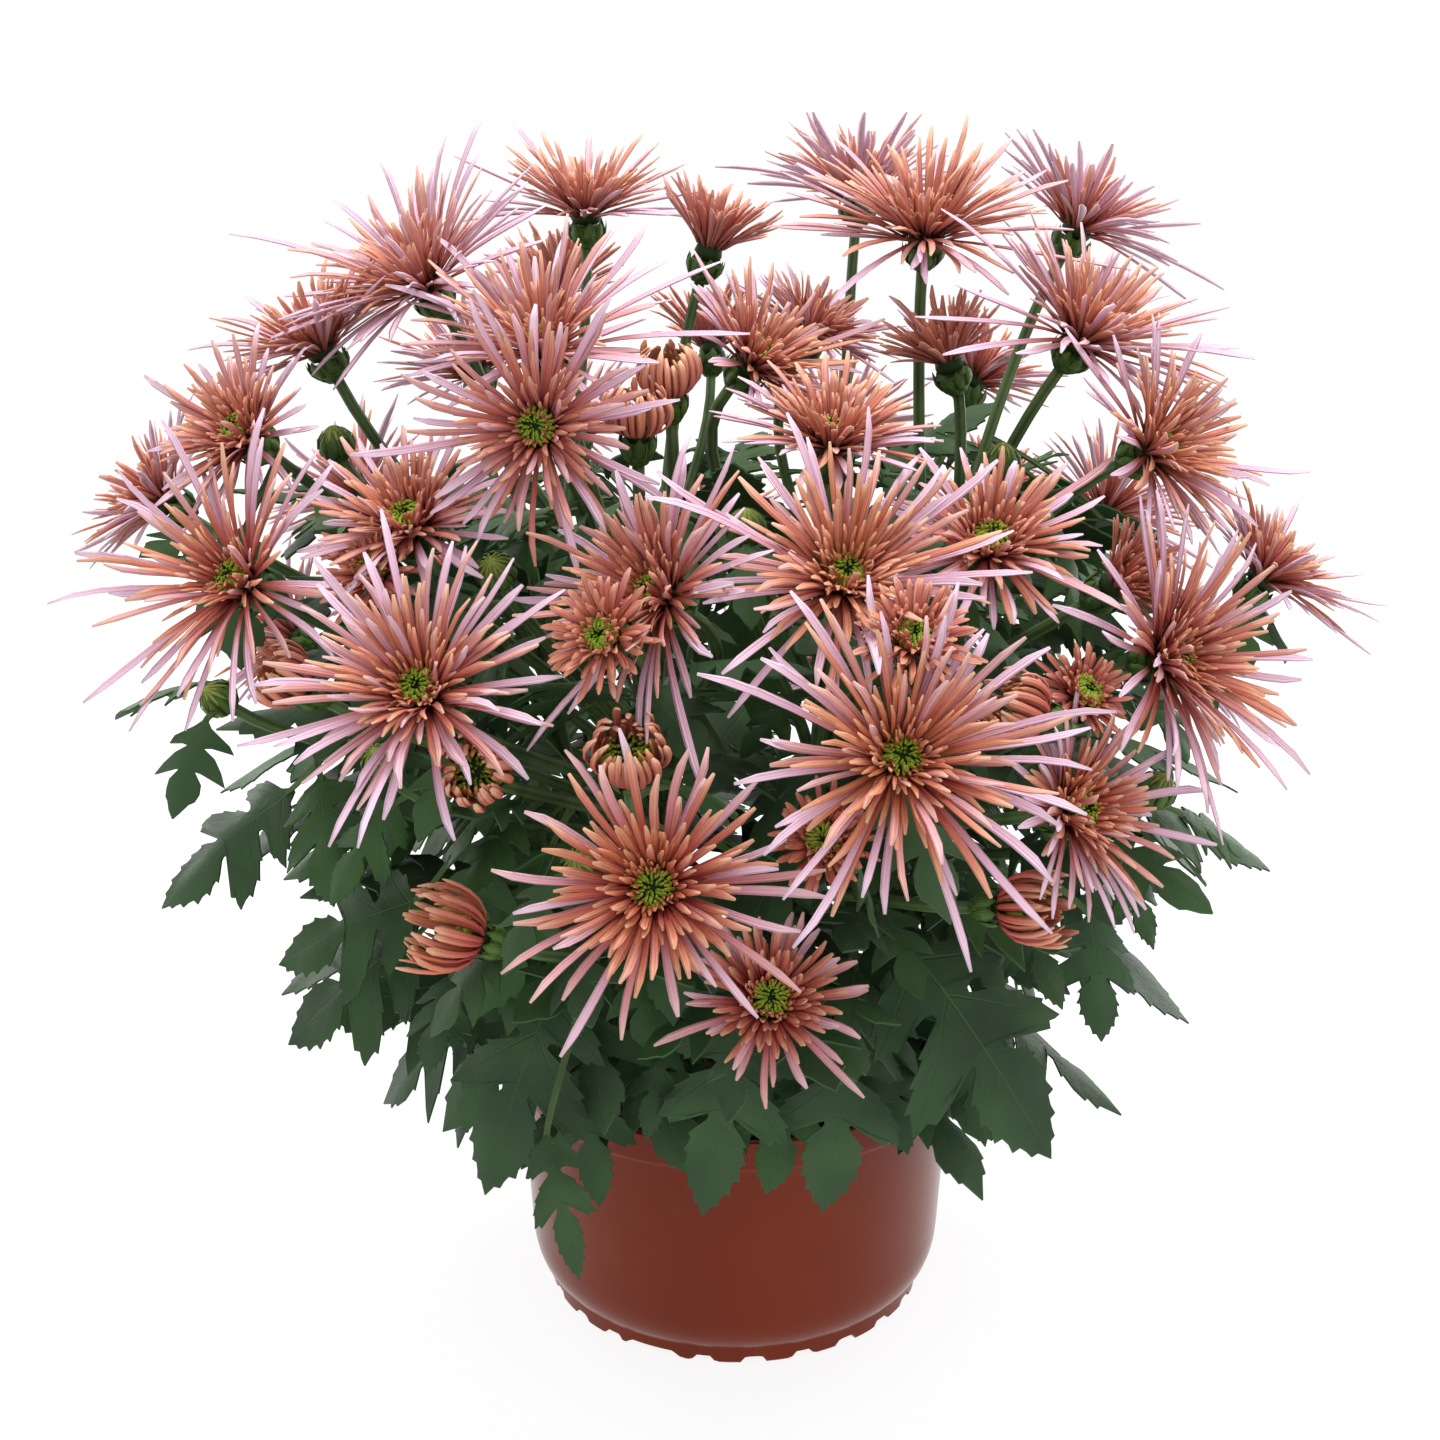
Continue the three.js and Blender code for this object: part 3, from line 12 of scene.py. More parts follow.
import bpy
import numpy as np
from mathutils import Euler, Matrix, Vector


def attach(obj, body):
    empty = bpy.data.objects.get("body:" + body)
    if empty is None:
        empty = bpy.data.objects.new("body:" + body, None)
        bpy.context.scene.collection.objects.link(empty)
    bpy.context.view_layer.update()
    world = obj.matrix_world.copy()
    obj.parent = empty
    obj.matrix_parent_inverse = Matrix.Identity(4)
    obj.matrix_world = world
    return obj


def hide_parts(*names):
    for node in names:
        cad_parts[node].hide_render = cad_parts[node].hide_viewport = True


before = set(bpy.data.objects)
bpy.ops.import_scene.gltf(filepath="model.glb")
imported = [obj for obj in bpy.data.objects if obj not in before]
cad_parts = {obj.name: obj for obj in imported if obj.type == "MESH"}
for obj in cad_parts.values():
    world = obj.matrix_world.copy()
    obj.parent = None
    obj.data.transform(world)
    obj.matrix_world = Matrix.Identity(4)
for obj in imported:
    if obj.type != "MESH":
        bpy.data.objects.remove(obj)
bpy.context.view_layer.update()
print("CAD nodes:", len(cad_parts))

# %% [markdown]
# ## The view
# The camera looks at the plant from the front and a little above. Millimetres are easier to
# think in for a plant this size, so places below are in mm, and a mesh is scaled to metres
# when it is made. A place on the plant can then be given by the pixel that it covers in the
# picture and by how far in front of the pot's axis it lies.

# %% Camera
PICTURE = 1440
FOCAL_PIXELS = 1800
SENSOR_MM = 36
TILT = math.radians(15)
CAMERA_MM = np.array([-5.0, -545.0, 334.0])
MM = 0.001

camera_data = bpy.data.cameras.new("camera")
camera_data.sensor_fit = "HORIZONTAL"
camera_data.sensor_width = SENSOR_MM
camera_data.lens = SENSOR_MM * FOCAL_PIXELS / PICTURE
camera_data.clip_start = 0.01
camera = bpy.data.objects.new("camera", camera_data)
camera.location = CAMERA_MM * MM
camera.rotation_euler = (math.pi / 2 - TILT, 0, 0)
bpy.context.scene.collection.objects.link(camera)
bpy.context.scene.camera = camera


def place_at(pixel, front):
    """The point seen at a pixel, a given number of mm in front of the pot's axis."""
    right = (pixel[0] - PICTURE / 2) / FOCAL_PIXELS
    rise = (PICTURE / 2 - pixel[1]) / FOCAL_PIXELS
    forward = math.cos(TILT) + rise * math.sin(TILT)
    upward = -math.sin(TILT) + rise * math.cos(TILT)
    far = (-CAMERA_MM[1] - front) / forward
    return np.array([CAMERA_MM[0] + right * far, -front, CAMERA_MM[2] + upward * far])


print("the picture's middle, at the axis:", place_at((720, 720), 0).round(1))

# %% [markdown]
# ## Light and floor
# The plant was photographed on white, between large soft lamps. Two tall lamps behind the
# plant, to its left and right, draw the pale bands down the pot's edges, and one above lights
# the heads. The floor is a lit white plate and the world is white too, so no shadow is left.
# The plain display transform keeps white white and the colours as strong as the materials.

# %% Stage
def to_linear(red, green, blue):
    """A colour given in 0 to 255 as a screen shows it, in the linear values Blender uses."""
    shares = np.array([red, green, blue]) / 255
    linear = np.where(shares <= 0.04045, shares / 12.92, ((shares + 0.055) / 1.055) ** 2.4)
    return (*[float(share) for share in linear], 1.0)


def add_lamp(name, place, aim, size, watts):
    """A large soft lamp that shines from place towards aim, both in metres."""
    lamp_data = bpy.data.lights.new(name, "AREA")
    lamp_data.shape = "RECTANGLE"
    lamp_data.size, lamp_data.size_y = size
    lamp_data.energy = watts
    lamp = bpy.data.objects.new(name, lamp_data)
    lamp.location = place
    way = Vector(aim) - Vector(place)
    lamp.rotation_euler = way.to_track_quat("-Z", "Y").to_euler()
    bpy.context.scene.collection.objects.link(lamp)


world = bpy.data.worlds.new("studio")
world.use_nodes = True
world.node_tree.nodes["Background"].inputs["Color"].default_value = (1, 1, 1, 1)
world.node_tree.nodes["Background"].inputs["Strength"].default_value = 1.0
bpy.context.scene.world = world
bpy.context.scene.view_settings.view_transform = "Standard"
add_lamp("lamp_above", (0.1, 0.1, 1.7), (0, 0, 0.2), (1.4, 1.0), 30)
add_lamp("lamp_left", (-0.95, 0.95, 0.4), (0, 0, 0.12), (0.5, 1.2), 6)
add_lamp("lamp_right", (0.95, 0.95, 0.4), (0, 0, 0.12), (0.5, 1.2), 7)

floor_mesh = bpy.data.meshes.new("floor")
floor_mesh.from_pydata([(-6, -6, 0), (6, -6, 0), (6, 6, 0), (-6, 6, 0)], [], [(0, 1, 2, 3)])
floor = bpy.data.objects.new("floor", floor_mesh)
bpy.context.scene.collection.objects.link(floor)
floor_paint = bpy.data.materials.new("floor_paint")
floor_paint.use_nodes = True
floor_shader = floor_paint.node_tree.nodes["Principled BSDF"]
floor_shader.inputs["Base Color"].default_value = (0.2, 0.2, 0.2, 1)
floor_shader.inputs["Roughness"].default_value = 1.0
floor_shader.inputs["Specular IOR Level"].default_value = 0.0
floor_shader.inputs["Emission Color"].default_value = (1, 1, 1, 1)
floor_shader.inputs["Emission Strength"].default_value = 0.86
floor_mesh.materials.append(floor_paint)

# %% [markdown]
# ## How the plant grows
# A plant isn't drawn leaf by leaf. It follows a rule, and the rule draws its small accidents
# from a seeded generator, so that the plant is the same each time. The CAD solids were grown
# by this rule too. With the same seeds the stems, branches and leaves below fall exactly
# where the solids are, and the finer pieces can take their place.

# %% Directions and chance
UP = np.array([0.0, 0.0, 1.0])


def unit(vector):
    return vector / np.linalg.norm(vector)


def direction(bearing, pitch):
    """A direction from its bearing, 0 towards the viewer and 90 to the right, and its pitch."""
    turn, climb = math.radians(bearing), math.radians(pitch)
    level = math.cos(climb)
    return np.array([level * math.sin(turn), -level * math.cos(turn), math.sin(climb)])


def random_from(seed):
    """A small generator of numbers from 0 to 1, the same for the same seed."""
    mask = 0xFFFFFFFF
    state = seed & mask

    def draw():
        nonlocal state
        state = (state + 0x6D2B79F5) & mask
        mixed = ((state ^ (state >> 15)) * (1 | state)) & mask
        mixed ^= (mixed + (((mixed ^ (mixed >> 7)) * (61 | mixed)) & mask)) & mask
        return ((mixed ^ (mixed >> 14)) & mask) / 2**32

    return draw


def spread(draw, amount):
    return (draw() * 2 - 1) * amount


# %% [markdown]
# ## Where the heads, buds and leaves are
# Each row below is one flower head: its kind, where its green eye is seen, how far in front of
# the pot's axis it lies, which way it faces, and how far its longest rays reach. Heads on the
# far side of the plant have their place in mm instead. Half-open heads, closed buds and the
# leaves that hang over the rim have tables of their own, and the rest of the leaves stand in
# rings round the plant.

# %% The plant's tables
OPEN_HEADS = [
    ("bloom", (415, 270), 45, (-50, 52), 50),
    ("bloom", (312, 331), 40, (-75, 65), 38),
    ("bloom", (233, 426), 80, (-35, 35), 32),
    ("bloom", (147, 490), 45, (-85, 35), 32),
    ("bloom", (230, 575), 110, (-25, 30), 47),
    ("bloom", (404, 512), 105, (-15, 50), 33),
    ("curled_bloom", (370, 567), 112, (-20, 30), 17),
    ("bloom", (416, 685), 150, (-12, 36), 43),
    ("bloom", (585, 195), -10, (0, 80), 38),
    ("dark_bloom", (714, 233), 10, (70, 72), 27),
    ("bloom", (539, 334), 75, (-10, 58), 47),
    ("bloom", (535, 426), 118, (-5, 12), 40),
    ("bloom", (766, 350), 62, (55, 42), 35),
    ("bloom", (818, 319), -20, (70, 60), 32),
    ("dark_bloom", (560, 280), -45, (180, 72), 28),
    ("bloom", (835, 425), 98, (15, 70), 33),
    ("bloom", (860, 180), -45, (160, 74), 40),
    ("bloom", (926, 218), 30, (0, 66), 46),
    ("bloom", (1087, 212), -12, (90, 62), 40),
    ("bloom", (1093, 325), 60, (48, 52), 47),
    ("dark_bloom", (943, 345), 38, (-60, 66), 24),
    ("bloom", (1169, 444), 90, (48, 25), 38),
    ("bloom", (993, 534), 122, (5, 46), 31),
    ("dark_bloom", (1132, 576), 108, (55, 35), 21),
    ("bloom", (1182, 655), 125, (42, 20), 44),
    ("bloom", (1278, 563), 55, (80, 50), 34),
    ("curled_bloom", (1089, 689), 138, (30, 40), 14),
    ("bloom", (1087, 808), 148, (42, 20), 32),
    ("bloom", (847, 570), 142, (5, 42), 45),
    ("bloom", (648, 588), 138, (-42, 30), 41),
    ("curled_bloom", (599, 634), 160, (-25, 22), 16),
    ("bloom", (903, 755), 176, (5, 30), 47),
    ("curled_bloom", (915, 633), 164, (5, 45), 17),
    ("bloom", (653, 887), 180, (-3, 22), 38),
    ("bloom", (771, 997), 152, (5, 38), 26),
    ("curled_bloom", (823, 839), 152, (-5, 25), 15),
]

BACK_HEADS = [
    ("bloom", (-60, 128, 268), (202, 50), 44),
    ("bloom", (40, 132, 270), (165, 50), 42),
    ("bloom", (-134, 84, 250), (238, 42), 42),
    ("bloom", (134, 88, 244), (125, 40), 43),
    ("bloom", (-104, 138, 205), (216, 24), 42),
    ("bloom", (-12, 168, 222), (184, 26), 44),
    ("bloom", (88, 146, 205), (149, 22), 40),
    ("dark_bloom", (-8, 82, 302), (180, 66), 30),
    ("bloom", (-158, 72, 200), (246, 18), 38),
    ("bloom", (156, 66, 196), (112, 18), 40),
    ("bloom", (82, 72, 292), (132, 62), 38),
    ("bloom", (-88, 62, 296), (232, 62), 40),
    ("bloom", (-52, 160, 178), (200, 12), 34),
    ("bloom", (42, 160, 168), (166, 10), 36),
    ("dark_bloom", (96, 112, 250), (140, 48), 24),
    ("curled_bloom", (-100, 108, 236), (222, 40), 17),
]

YOUNG_HEADS = [
    ("young_bloom", (478, 773), 150, (-8, 25), 12),
    ("young_bloom", (288, 680), 105, (-60, 35), 12),
    ("young_bloom", (668, 377), 88, (-10, 72), 12),
    ("young_bloom", (637, 417), 100, (0, 78), 12),
    ("young_bloom", (1023, 712), 150, (-75, 25), 12),
    ("young_bloom", (1019, 908), 140, (62, 10), 13),
    ("young_bloom", (627, 758), 162, (0, 48), 13),
    ("young_bloom", (464, 934), 140, (-78, 22), 15),
]

# where a bud is seen, how far in front of the axis it lies and which way it points
CLOSED_BUDS = [
    ((205, 689), 95, (-40, 40)),
    ((491, 561), 118, (-10, 40)),
    ((374, 750), 128, (-20, 50)),
    ((332, 426), 58, (-30, 75)),
    ((746, 509), 110, (0, 70)),
    ((1004, 443), 70, (10, 75)),
    ((1167, 775), 122, (50, 60)),
    ((575, 858), 150, (-20, 40)),
]

# where a blade's base and tip are seen, how far in front they lie, and width as a share of length
SEEN_LEAVES = [
    ((293, 789), (161, 908), (62, 70), 0.85),
    ((321, 775), (333, 907), (85, 112), 0.75),
    ((422, 899), (278, 965), (92, 82), 0.8),
    ((420, 935), (288, 1045), (80, 76), 0.85),
    ((452, 975), (428, 1075), (96, 118), 0.7),
    ((560, 980), (486, 1195), (96, 112), 0.75),
    ((520, 950), (420, 1060), (70, 88), 0.75),
    ((545, 1130), (580, 1281), (96, 100), 0.65),
    ((585, 1060), (600, 1208), (84, 96), 0.6),
    ((665, 1040), (646, 1141), (96, 108), 0.6),
    ((742, 1010), (703, 1216), (100, 112), 0.75),
    ((800, 1060), (766, 1195), (88, 96), 0.7),
    ((850, 1020), (822, 1213), (100, 110), 0.72),
    ((872, 1040), (908, 1155), (82, 96), 0.75),
    ((905, 945), (1050, 1159), (104, 118), 0.85),
    ((960, 1030), (985, 1147), (76, 90), 0.7),
    ((950, 1110), (988, 1246), (72, 84), 0.6),
    ((1090, 913), (1101, 1042), (76, 96), 0.85),
    ((1120, 850), (1153, 950), (60, 72), 0.7),
    ((1010, 900), (1062, 1010), (92, 110), 0.7),
    ((400, 800), (330, 905), (105, 112), 0.75),
    ((520, 820), (462, 900), (112, 130), 0.7),
]

# first and last bearing, leaves, how far out and how high, length and pitch
LEAF_RINGS = [
    (76, 286, 7, 82, 142, 72, -40),
    (70, 290, 8, 106, 188, 64, -22),
    (60, 300, 7, 95, 232, 54, 10),
    (-55, 55, 5, 92, 212, 50, 10),
    (0, 290, 4, 52, 252, 46, 28),
]

# %% Sizes shared by the growth rule, in mm
POT_HEIGHT = 80
RIM_RADIUS = 71.5
PEAT_TOP = POT_HEIGHT - 13
GAP = 0.35
STEM_BEARINGS = [-70, -24, 24, 70, 145, 215]
STEM_RING = 27
STEM_TOP_RING = 60
STEM_TOP = 205
STEM_RADIUS = 2.9
STEM_TIP_RADIUS = 2.2
STEM_DEPTH = 16
BRANCH_RADIUS = 1.9
CALYX_HEIGHT = 6
CORE_DROP = 2.2
CALYX_OVERHANG = 0.6
SEEDS = {"branch": 500, "bud": 900, "seen_leaf": 3000, "ring_leaf": 4000, "filling": 5200,
         "small": 5600, "crumbs": 6100, "wood": 7000, "blades": 8000, "rays": 9000}

# %% [markdown]
# ## Room for every piece
# Real stems and leaves push each other aside. Here each piece that has grown leaves a row of
# small balls in a list, and a new piece may only grow where its own balls stay clear of them.
# NumPy tests all the balls of a piece at once, which keeps the growing fast.

# %% Taken room
taken = {"at": np.zeros((0, 3)), "radius": np.zeros(0), "owner": np.zeros(0, int),
         "free": np.zeros(0, bool)}
owners = {}


def owner_number(name):
    return owners.setdefault(name, len(owners))


def balls_of(at, radius, name):
    """Balls of one piece. Two that are later marked free may not touch each other either."""
    count = len(at)
    return {"at": np.asarray(at, float), "radius": np.broadcast_to(radius, count).astype(float),
            "owner": np.full(count, owner_number(name)),
            "free": np.zeros(count, bool)}


def take_room(balls):
    for key in taken:
        taken[key] = np.concatenate([taken[key], balls[key]])


# how thick the rim and the peat's bumps are taken to be, how far the largest balls reach, how
# far apart pieces of one stem stay, and how far apart balls lie along a path, all in mm
RIM_BAND = 4
PEAT_BUMPS = 2
BALL_REACH = 10
OWN_GAP = 0.15
BALL_STEP = 2


def meets_pot(at, radius):
    out = np.hypot(at[:, 0], at[:, 1])
    near = (at[:, 2] <= POT_HEIGHT + radius + GAP) & (out <= RIM_RADIUS + radius + GAP)
    in_rim = out > RIM_RADIUS - RIM_BAND - radius
    in_peat = at[:, 2] < PEAT_TOP + PEAT_BUMPS + radius + GAP
    return near & (in_rim | in_peat)


def is_clear(balls, ignored=()):
    """True where a piece's balls touch neither the pot nor a ball of another piece."""
    if meets_pot(balls["at"], balls["radius"]).any():
        return False
    low = balls["at"].min(0) - BALL_REACH
    high = balls["at"].max(0) + BALL_REACH
    near = ((taken["at"] >= low) & (taken["at"] <= high)).all(1)
    near &= ~np.isin(taken["owner"], [owner_number(name) for name in ignored])
    if not near.any():
        return True
    apart = np.linalg.norm(balls["at"][:, None] - taken["at"][near][None], axis=2)
    same = balls["owner"][:, None] == taken["owner"][near][None]
    both_free = balls["free"][:, None] & taken["free"][near][None]
    room = balls["radius"][:, None] + taken["radius"][near][None] + np.where(same, OWN_GAP, GAP)
    return not ((apart < room) & (~same | both_free)).any()


def balls_along(points, radii, name):
    """Balls along a path, one for about each BALL_STEP mm."""
    at, radius = [], []
    for start, end, first, last in zip(points, points[1:], radii, radii[1:]):
        count = max(1, math.ceil(np.linalg.norm(end - start) / BALL_STEP))
        for share in np.arange(count) / count:
            at.append(start + (end - start) * share)
            radius.append(first + (last - first) * share)
    return balls_of(at + [points[-1]], np.array(radius + [radii[-1]]), name)


# %% [markdown]
# ## Stems and branches
# Each main stem leaves its hole in the peat upright and leans out as it rises. From it a
# branch runs to every head and bud: it leaves upwards and bends until it points along the
# head's axis. Where a branch would hit something, its path is shaken a little more with each
# attempt.

# %% Grow the main stems
def point_on(bearing, out, height):
    point = direction(bearing, 0) * out
    point[2] = height
    return point


stems = []
for number, bearing in enumerate(STEM_BEARINGS):
    points = [point_on(bearing, out, height) for out, height in [
        (STEM_RING, PEAT_TOP - STEM_DEPTH), (STEM_RING, PEAT_TOP + 6),
        (STEM_RING + 12, PEAT_TOP + 50), (STEM_TOP_RING - 9, STEM_TOP - 42),
        (STEM_TOP_RING, STEM_TOP)]]
    radii = [STEM_RADIUS, STEM_RADIUS, STEM_RADIUS - 0.2, STEM_RADIUS - 0.5, STEM_TIP_RADIUS]
    stems.append({"name": f"leafy_stem_{number + 1}", "bearing": bearing, "points": points,
                  "radii": radii, "paths": [points[1:]], "branches": [], "leaves": [],
                  "calyces": [], "buds": []})


def nearest_stem(point):
    bearing = math.degrees(math.atan2(point[0], -point[1]))
    return min(stems, key=lambda stem: abs((stem["bearing"] - bearing + 180) % 360 - 180))


# %% Place the heads
# the radius and height of a head's core, in mm
KINDS = {
    "bloom": {"radius": 5.4, "height": 6.4},
    "curled_bloom": {"radius": 4.6, "height": 5.6},
    "dark_bloom": {"radius": 4.8, "height": 6.0},
    "young_bloom": {"radius": 4.0, "height": 4.4},
}
heads = []


def place_head(kind, eye, faces, reach):
    axis = direction(*faces)
    form = KINDS[kind]
    seat = eye - axis * form["height"]
    heads.append({"kind": kind, "name": f"{kind}_{len(heads) + 1:02d}", "axis": axis,
                  "seat": seat, "reach": reach, "form": form,
                  "fused": kind == "young_bloom", "stem": nearest_stem(seat)})


for kind, pixel, front, faces, reach in OPEN_HEADS:
    place_head(kind, place_at(pixel, front), faces, reach)
for kind, place, faces, reach in BACK_HEADS:
    place_head(kind, np.array(place, float), faces, reach)
for kind, pixel, front, faces, reach in YOUNG_HEADS:
    place_head(kind, place_at(pixel, front), faces, reach)
# the balls that keep room for a head's core and, below it, for its calyx: place and radius
CORE_BALL = (3, 7)
CALYX_BALL = (-6, 4.5)
for head in heads:
    for (up, radius), name in ((CORE_BALL, head["name"]), (CALYX_BALL, head["stem"]["name"])):
        take_room(balls_of([head["seat"] + head["axis"] * up], radius, name))
for stem in stems:
    take_room(balls_along(stem["points"], stem["radii"], stem["name"]))
print("heads:", len(heads))

# %% Grow the branches
SHAKE_STEPS = 90
FORK_ZONE = 14
LONGEST_PULL = 34
# a branch leaves its stem at this share of the way up, and the higher its end above FORK_LOW
# lies the higher it leaves, over FORK_RISE mm
FORK_SHARE = 0.32
FORK_SHARE_RISE = 0.66
FORK_LOW = 150
FORK_RISE = 150


def curve_points(controls, shares):
    """Points at shares of a curve from its start, the two points that pull it, and its end."""
    t = np.asarray(shares, float)[:, None]
    a, b, c, d = controls
    return (1 - t) ** 3 * a + 3 * (1 - t) ** 2 * t * b + 3 * (1 - t) * t**2 * c + t**3 * d


def branch_controls(stem, end, axis, draw, shake):
    rise = min(1, max(0, (end[2] - FORK_LOW) / FORK_RISE))
    along = (FORK_SHARE + FORK_SHARE_RISE * rise) * 3
    stretch = min(2, math.floor(along))
    start, stop = stem["points"][1 + stretch], stem["points"][2 + stretch]
    root = start + (stop - start) * (along - stretch)
    pull = min(LONGEST_PULL, np.linalg.norm(end - root) / 3)
    leave = unit(unit(end - root) + UP)
    first = root + leave * pull
    second = end - axis * pull
    for point in (first, second):
        point += [spread(draw, shake), spread(draw, shake), spread(draw, shake / 2)]
    return [root, first, second, end]


def grow_branch(stem, end, axis, cap_points, cap_radii, seed, ignored):
    draw = random_from(seed)
    for step in range(SHAKE_STEPS):
        controls = branch_controls(stem, end, axis, draw, step * 0.5)
        path = list(curve_points(controls, [0, 0.3, 0.65, 1]))
        balls = balls_along(path + cap_points, [BRANCH_RADIUS] * 4 + cap_radii, stem["name"])
        if step < SHAKE_STEPS / 2:
            balls["free"] = np.linalg.norm(balls["at"] - path[0], axis=1) > FORK_ZONE
        if is_clear(balls, ignored):
            take_room(balls)
            stem["paths"].append(path)
            stem["branches"].append(controls)
            return


# how deep the calyx of a young head reaches into its core, and a closed bud's neck, middle
# and radii at its middle and eye, in mm
FUSED_DEPTH = 0.6
BUD_NECK = 9
BUD_MIDDLE = 5
BUD_RADII = [4.6, 3]
for number, head in enumerate(heads):
    top = head["seat"] - head["axis"] * (CORE_DROP + (-FUSED_DEPTH if head["fused"] else GAP))
    neck = top - head["axis"] * CALYX_HEIGHT
    rim = head["form"]["radius"] + CALYX_OVERHANG
    grow_branch(head["stem"], neck, head["axis"], [top], [rim], SEEDS["branch"] + number,
                [head["name"]])
    head["stem"]["calyces"].append((neck, top, head["axis"], rim))
for number, (pixel, front, faces) in enumerate(CLOSED_BUDS):
    axis = direction(*faces)
    eye = place_at(pixel, front)
    stem = nearest_stem(eye)
    grow_branch(stem, eye - axis * BUD_NECK, axis, [eye - axis * BUD_MIDDLE, eye], BUD_RADII,
                SEEDS["bud"] + number, [])
    stem["buds"].append((eye, axis))
print("branches:", sum(len(stem["branches"]) for stem in stems))

# %% [markdown]
# ## Leaves
# A chrysanthemum leaf is a thin blade cut by deep bays into lobes, on a short flat stalk.
# The rule works with a coarse outline of seven points a side. It tries a place, turns and
# shortens the leaf where it is crowded, and keeps it once it is clear of everything else.

# %% Grow the leaves
LEAF_HALF = [(0.06, 0.22), (0.27, 0.46), (0.3, 0.14), (0.53, 0.48), (0.62, 0.14), (0.77, 0.21),
             (0.89, 0.12)]
LEAF_RIB = (0.27, 0.6)
EDGE_POINTS = 2 * (len(LEAF_HALF) + 2) + 1
STALK_WIDTH = 2.2
BLADE_THICKNESS = 0.7
LONGEST_STALK = 52


def blade_triangles():
    low, high, tip, last = EDGE_POINTS, EDGE_POINTS + 1, len(LEAF_HALF) + 2, EDGE_POINTS - 1
    top = [(last, 0, 1), (last, 1, last - 1), (last - 1, 1, low)]
    half = [(0, 1, low), (1, 2, low), (2, 3, low), (low, 3, high), (3, 4, high), (4, 5, high),
            (5, 6, high), (6, 7, high), (7, None, high)]
    for is_left in (False, True):
        for face in half:
            corners = [tip if k is None else k if k >= EDGE_POINTS
                       else last - 1 - k if is_left else k + 1 for k in face]
            top.append(tuple(reversed(corners)) if is_left else tuple(corners))
    return top


BLADE_TOP = np.array(blade_triangles())
lower = BLADE_TOP[:, [0, 2, 1]] + EDGE_POINTS + 2
rim_now = np.arange(EDGE_POINTS)
rim_next = (rim_now + 1) % EDGE_POINTS
under = EDGE_POINTS + 2
rim_faces = np.concatenate([
    np.stack([rim_now + under, rim_next + under, rim_next], 1),
    np.stack([rim_now + under, rim_next, rim_now], 1)])
BLADE_SKIN = np.concatenate([BLADE_TOP, lower, rim_faces])


def leaf_frame(leaf):
    """The directions that a leaf's blade is laid out in, and the top of its arched midrib."""
    base, tip = leaf["base"], leaf["tip"]
    length = np.linalg.norm(tip - base)
    along = (tip - base) / length
    side = unit(np.cross(along, leaf["facing"]))
    normal = np.cross(side, along)
    crown = base + (tip - base) * 0.5 + normal * leaf["arch"] * length
    return length, along, side, normal, crown


def blade_point(leaf, share, across):
    """Points on the arched, drooping blade; share runs base to tip, across runs -0.5 to 0.5."""
    length, _, side, normal, crown = leaf_frame(leaf)
    t = np.asarray(share, float)[..., None]
    across = np.asarray(across, float)[..., None]
    rib = (1 - t) ** 2 * leaf["base"] + 2 * (1 - t) * t * crown + t**2 * leaf["tip"]
    wide = leaf["wide"] * length
    return rib + side * across * wide - normal * 0.35 * np.abs(across) ** 1.5 * wide


def sheet_middle(leaf):
    """The coarse outline and rib of a leaf, halfway through its thickness, and its bend."""
    _, along, side, normal, _ = leaf_frame(leaf)
    base, root = leaf["base"], leaf["root"]
    stalk = unit(base - root)
    stalk_side = unit(side - stalk * side.dot(stalk))
    stalk_normal = np.cross(stalk_side, stalk)
    shares = [share for share, _ in LEAF_HALF]
    widths = [across for _, across in LEAF_HALF]
    half = STALK_WIDTH / 2
    right = [root + stalk_side * half, base + side * half, *blade_point(leaf, shares, widths)]
    left = [root - stalk_side * half, base - side * half,
            *blade_point(leaf, shares, [-across for across in widths])]
    rib = blade_point(leaf, LEAF_RIB, (0, 0))
    middle = np.array([*right, leaf["tip"], *left[::-1], *rib])
    turn = unit(normal + stalk_normal)
    knee = turn / max(0.5, turn.dot(normal))
    lifts = np.tile(normal, (len(middle), 1))
    lifts[[0, EDGE_POINTS - 1]] = stalk_normal
    lifts[[1, EDGE_POINTS - 2]] = knee
    return middle, lifts * BLADE_THICKNESS / 2, along.dot(stalk)


def crosses_itself(points, faces):
    """True where an edge of a mesh runs through one of its triangles."""
    corners = points[faces]
    edge_a, edge_b, edge_c = corners[:, 0], corners[:, 1] - corners[:, 0], corners[:, 2] - corners[:, 0]
    plane = np.cross(edge_b, edge_c)
    for first, second in ((0, 1), (1, 2), (2, 0)):
        start, way = corners[:, first], corners[:, second] - corners[:, first]
        slope = way @ plane.T
        reach = (plane * edge_a).sum(1)[None] - start @ plane.T
        with np.errstate(divide="ignore", invalid="ignore"):
            far = reach / slope
        hit = (far > 0) & (far < 1)
        rows, columns = np.nonzero(hit)
        touches = (faces[columns] == faces[rows, first][:, None]).any(1)
        touches |= (faces[columns] == faces[rows, second][:, None]).any(1)
        rows, columns = rows[~touches], columns[~touches]
        spot = start[rows] + way[rows] * far[rows, columns][:, None]
        inside = np.ones(len(rows), bool)
        for k in range(3):
            a, b = corners[columns, k], corners[columns, (k + 1) % 3]
            inside &= (np.cross(b - a, spot - a) * plane[columns]).sum(1) >= 0
        if inside.any():
            return True
    return False


# how far apart the balls on a blade lie and how big they are, in mm
PACKED_BALLS = (3.2, 0.9)
EXTRA_BALLS = (4.5, 0.5)


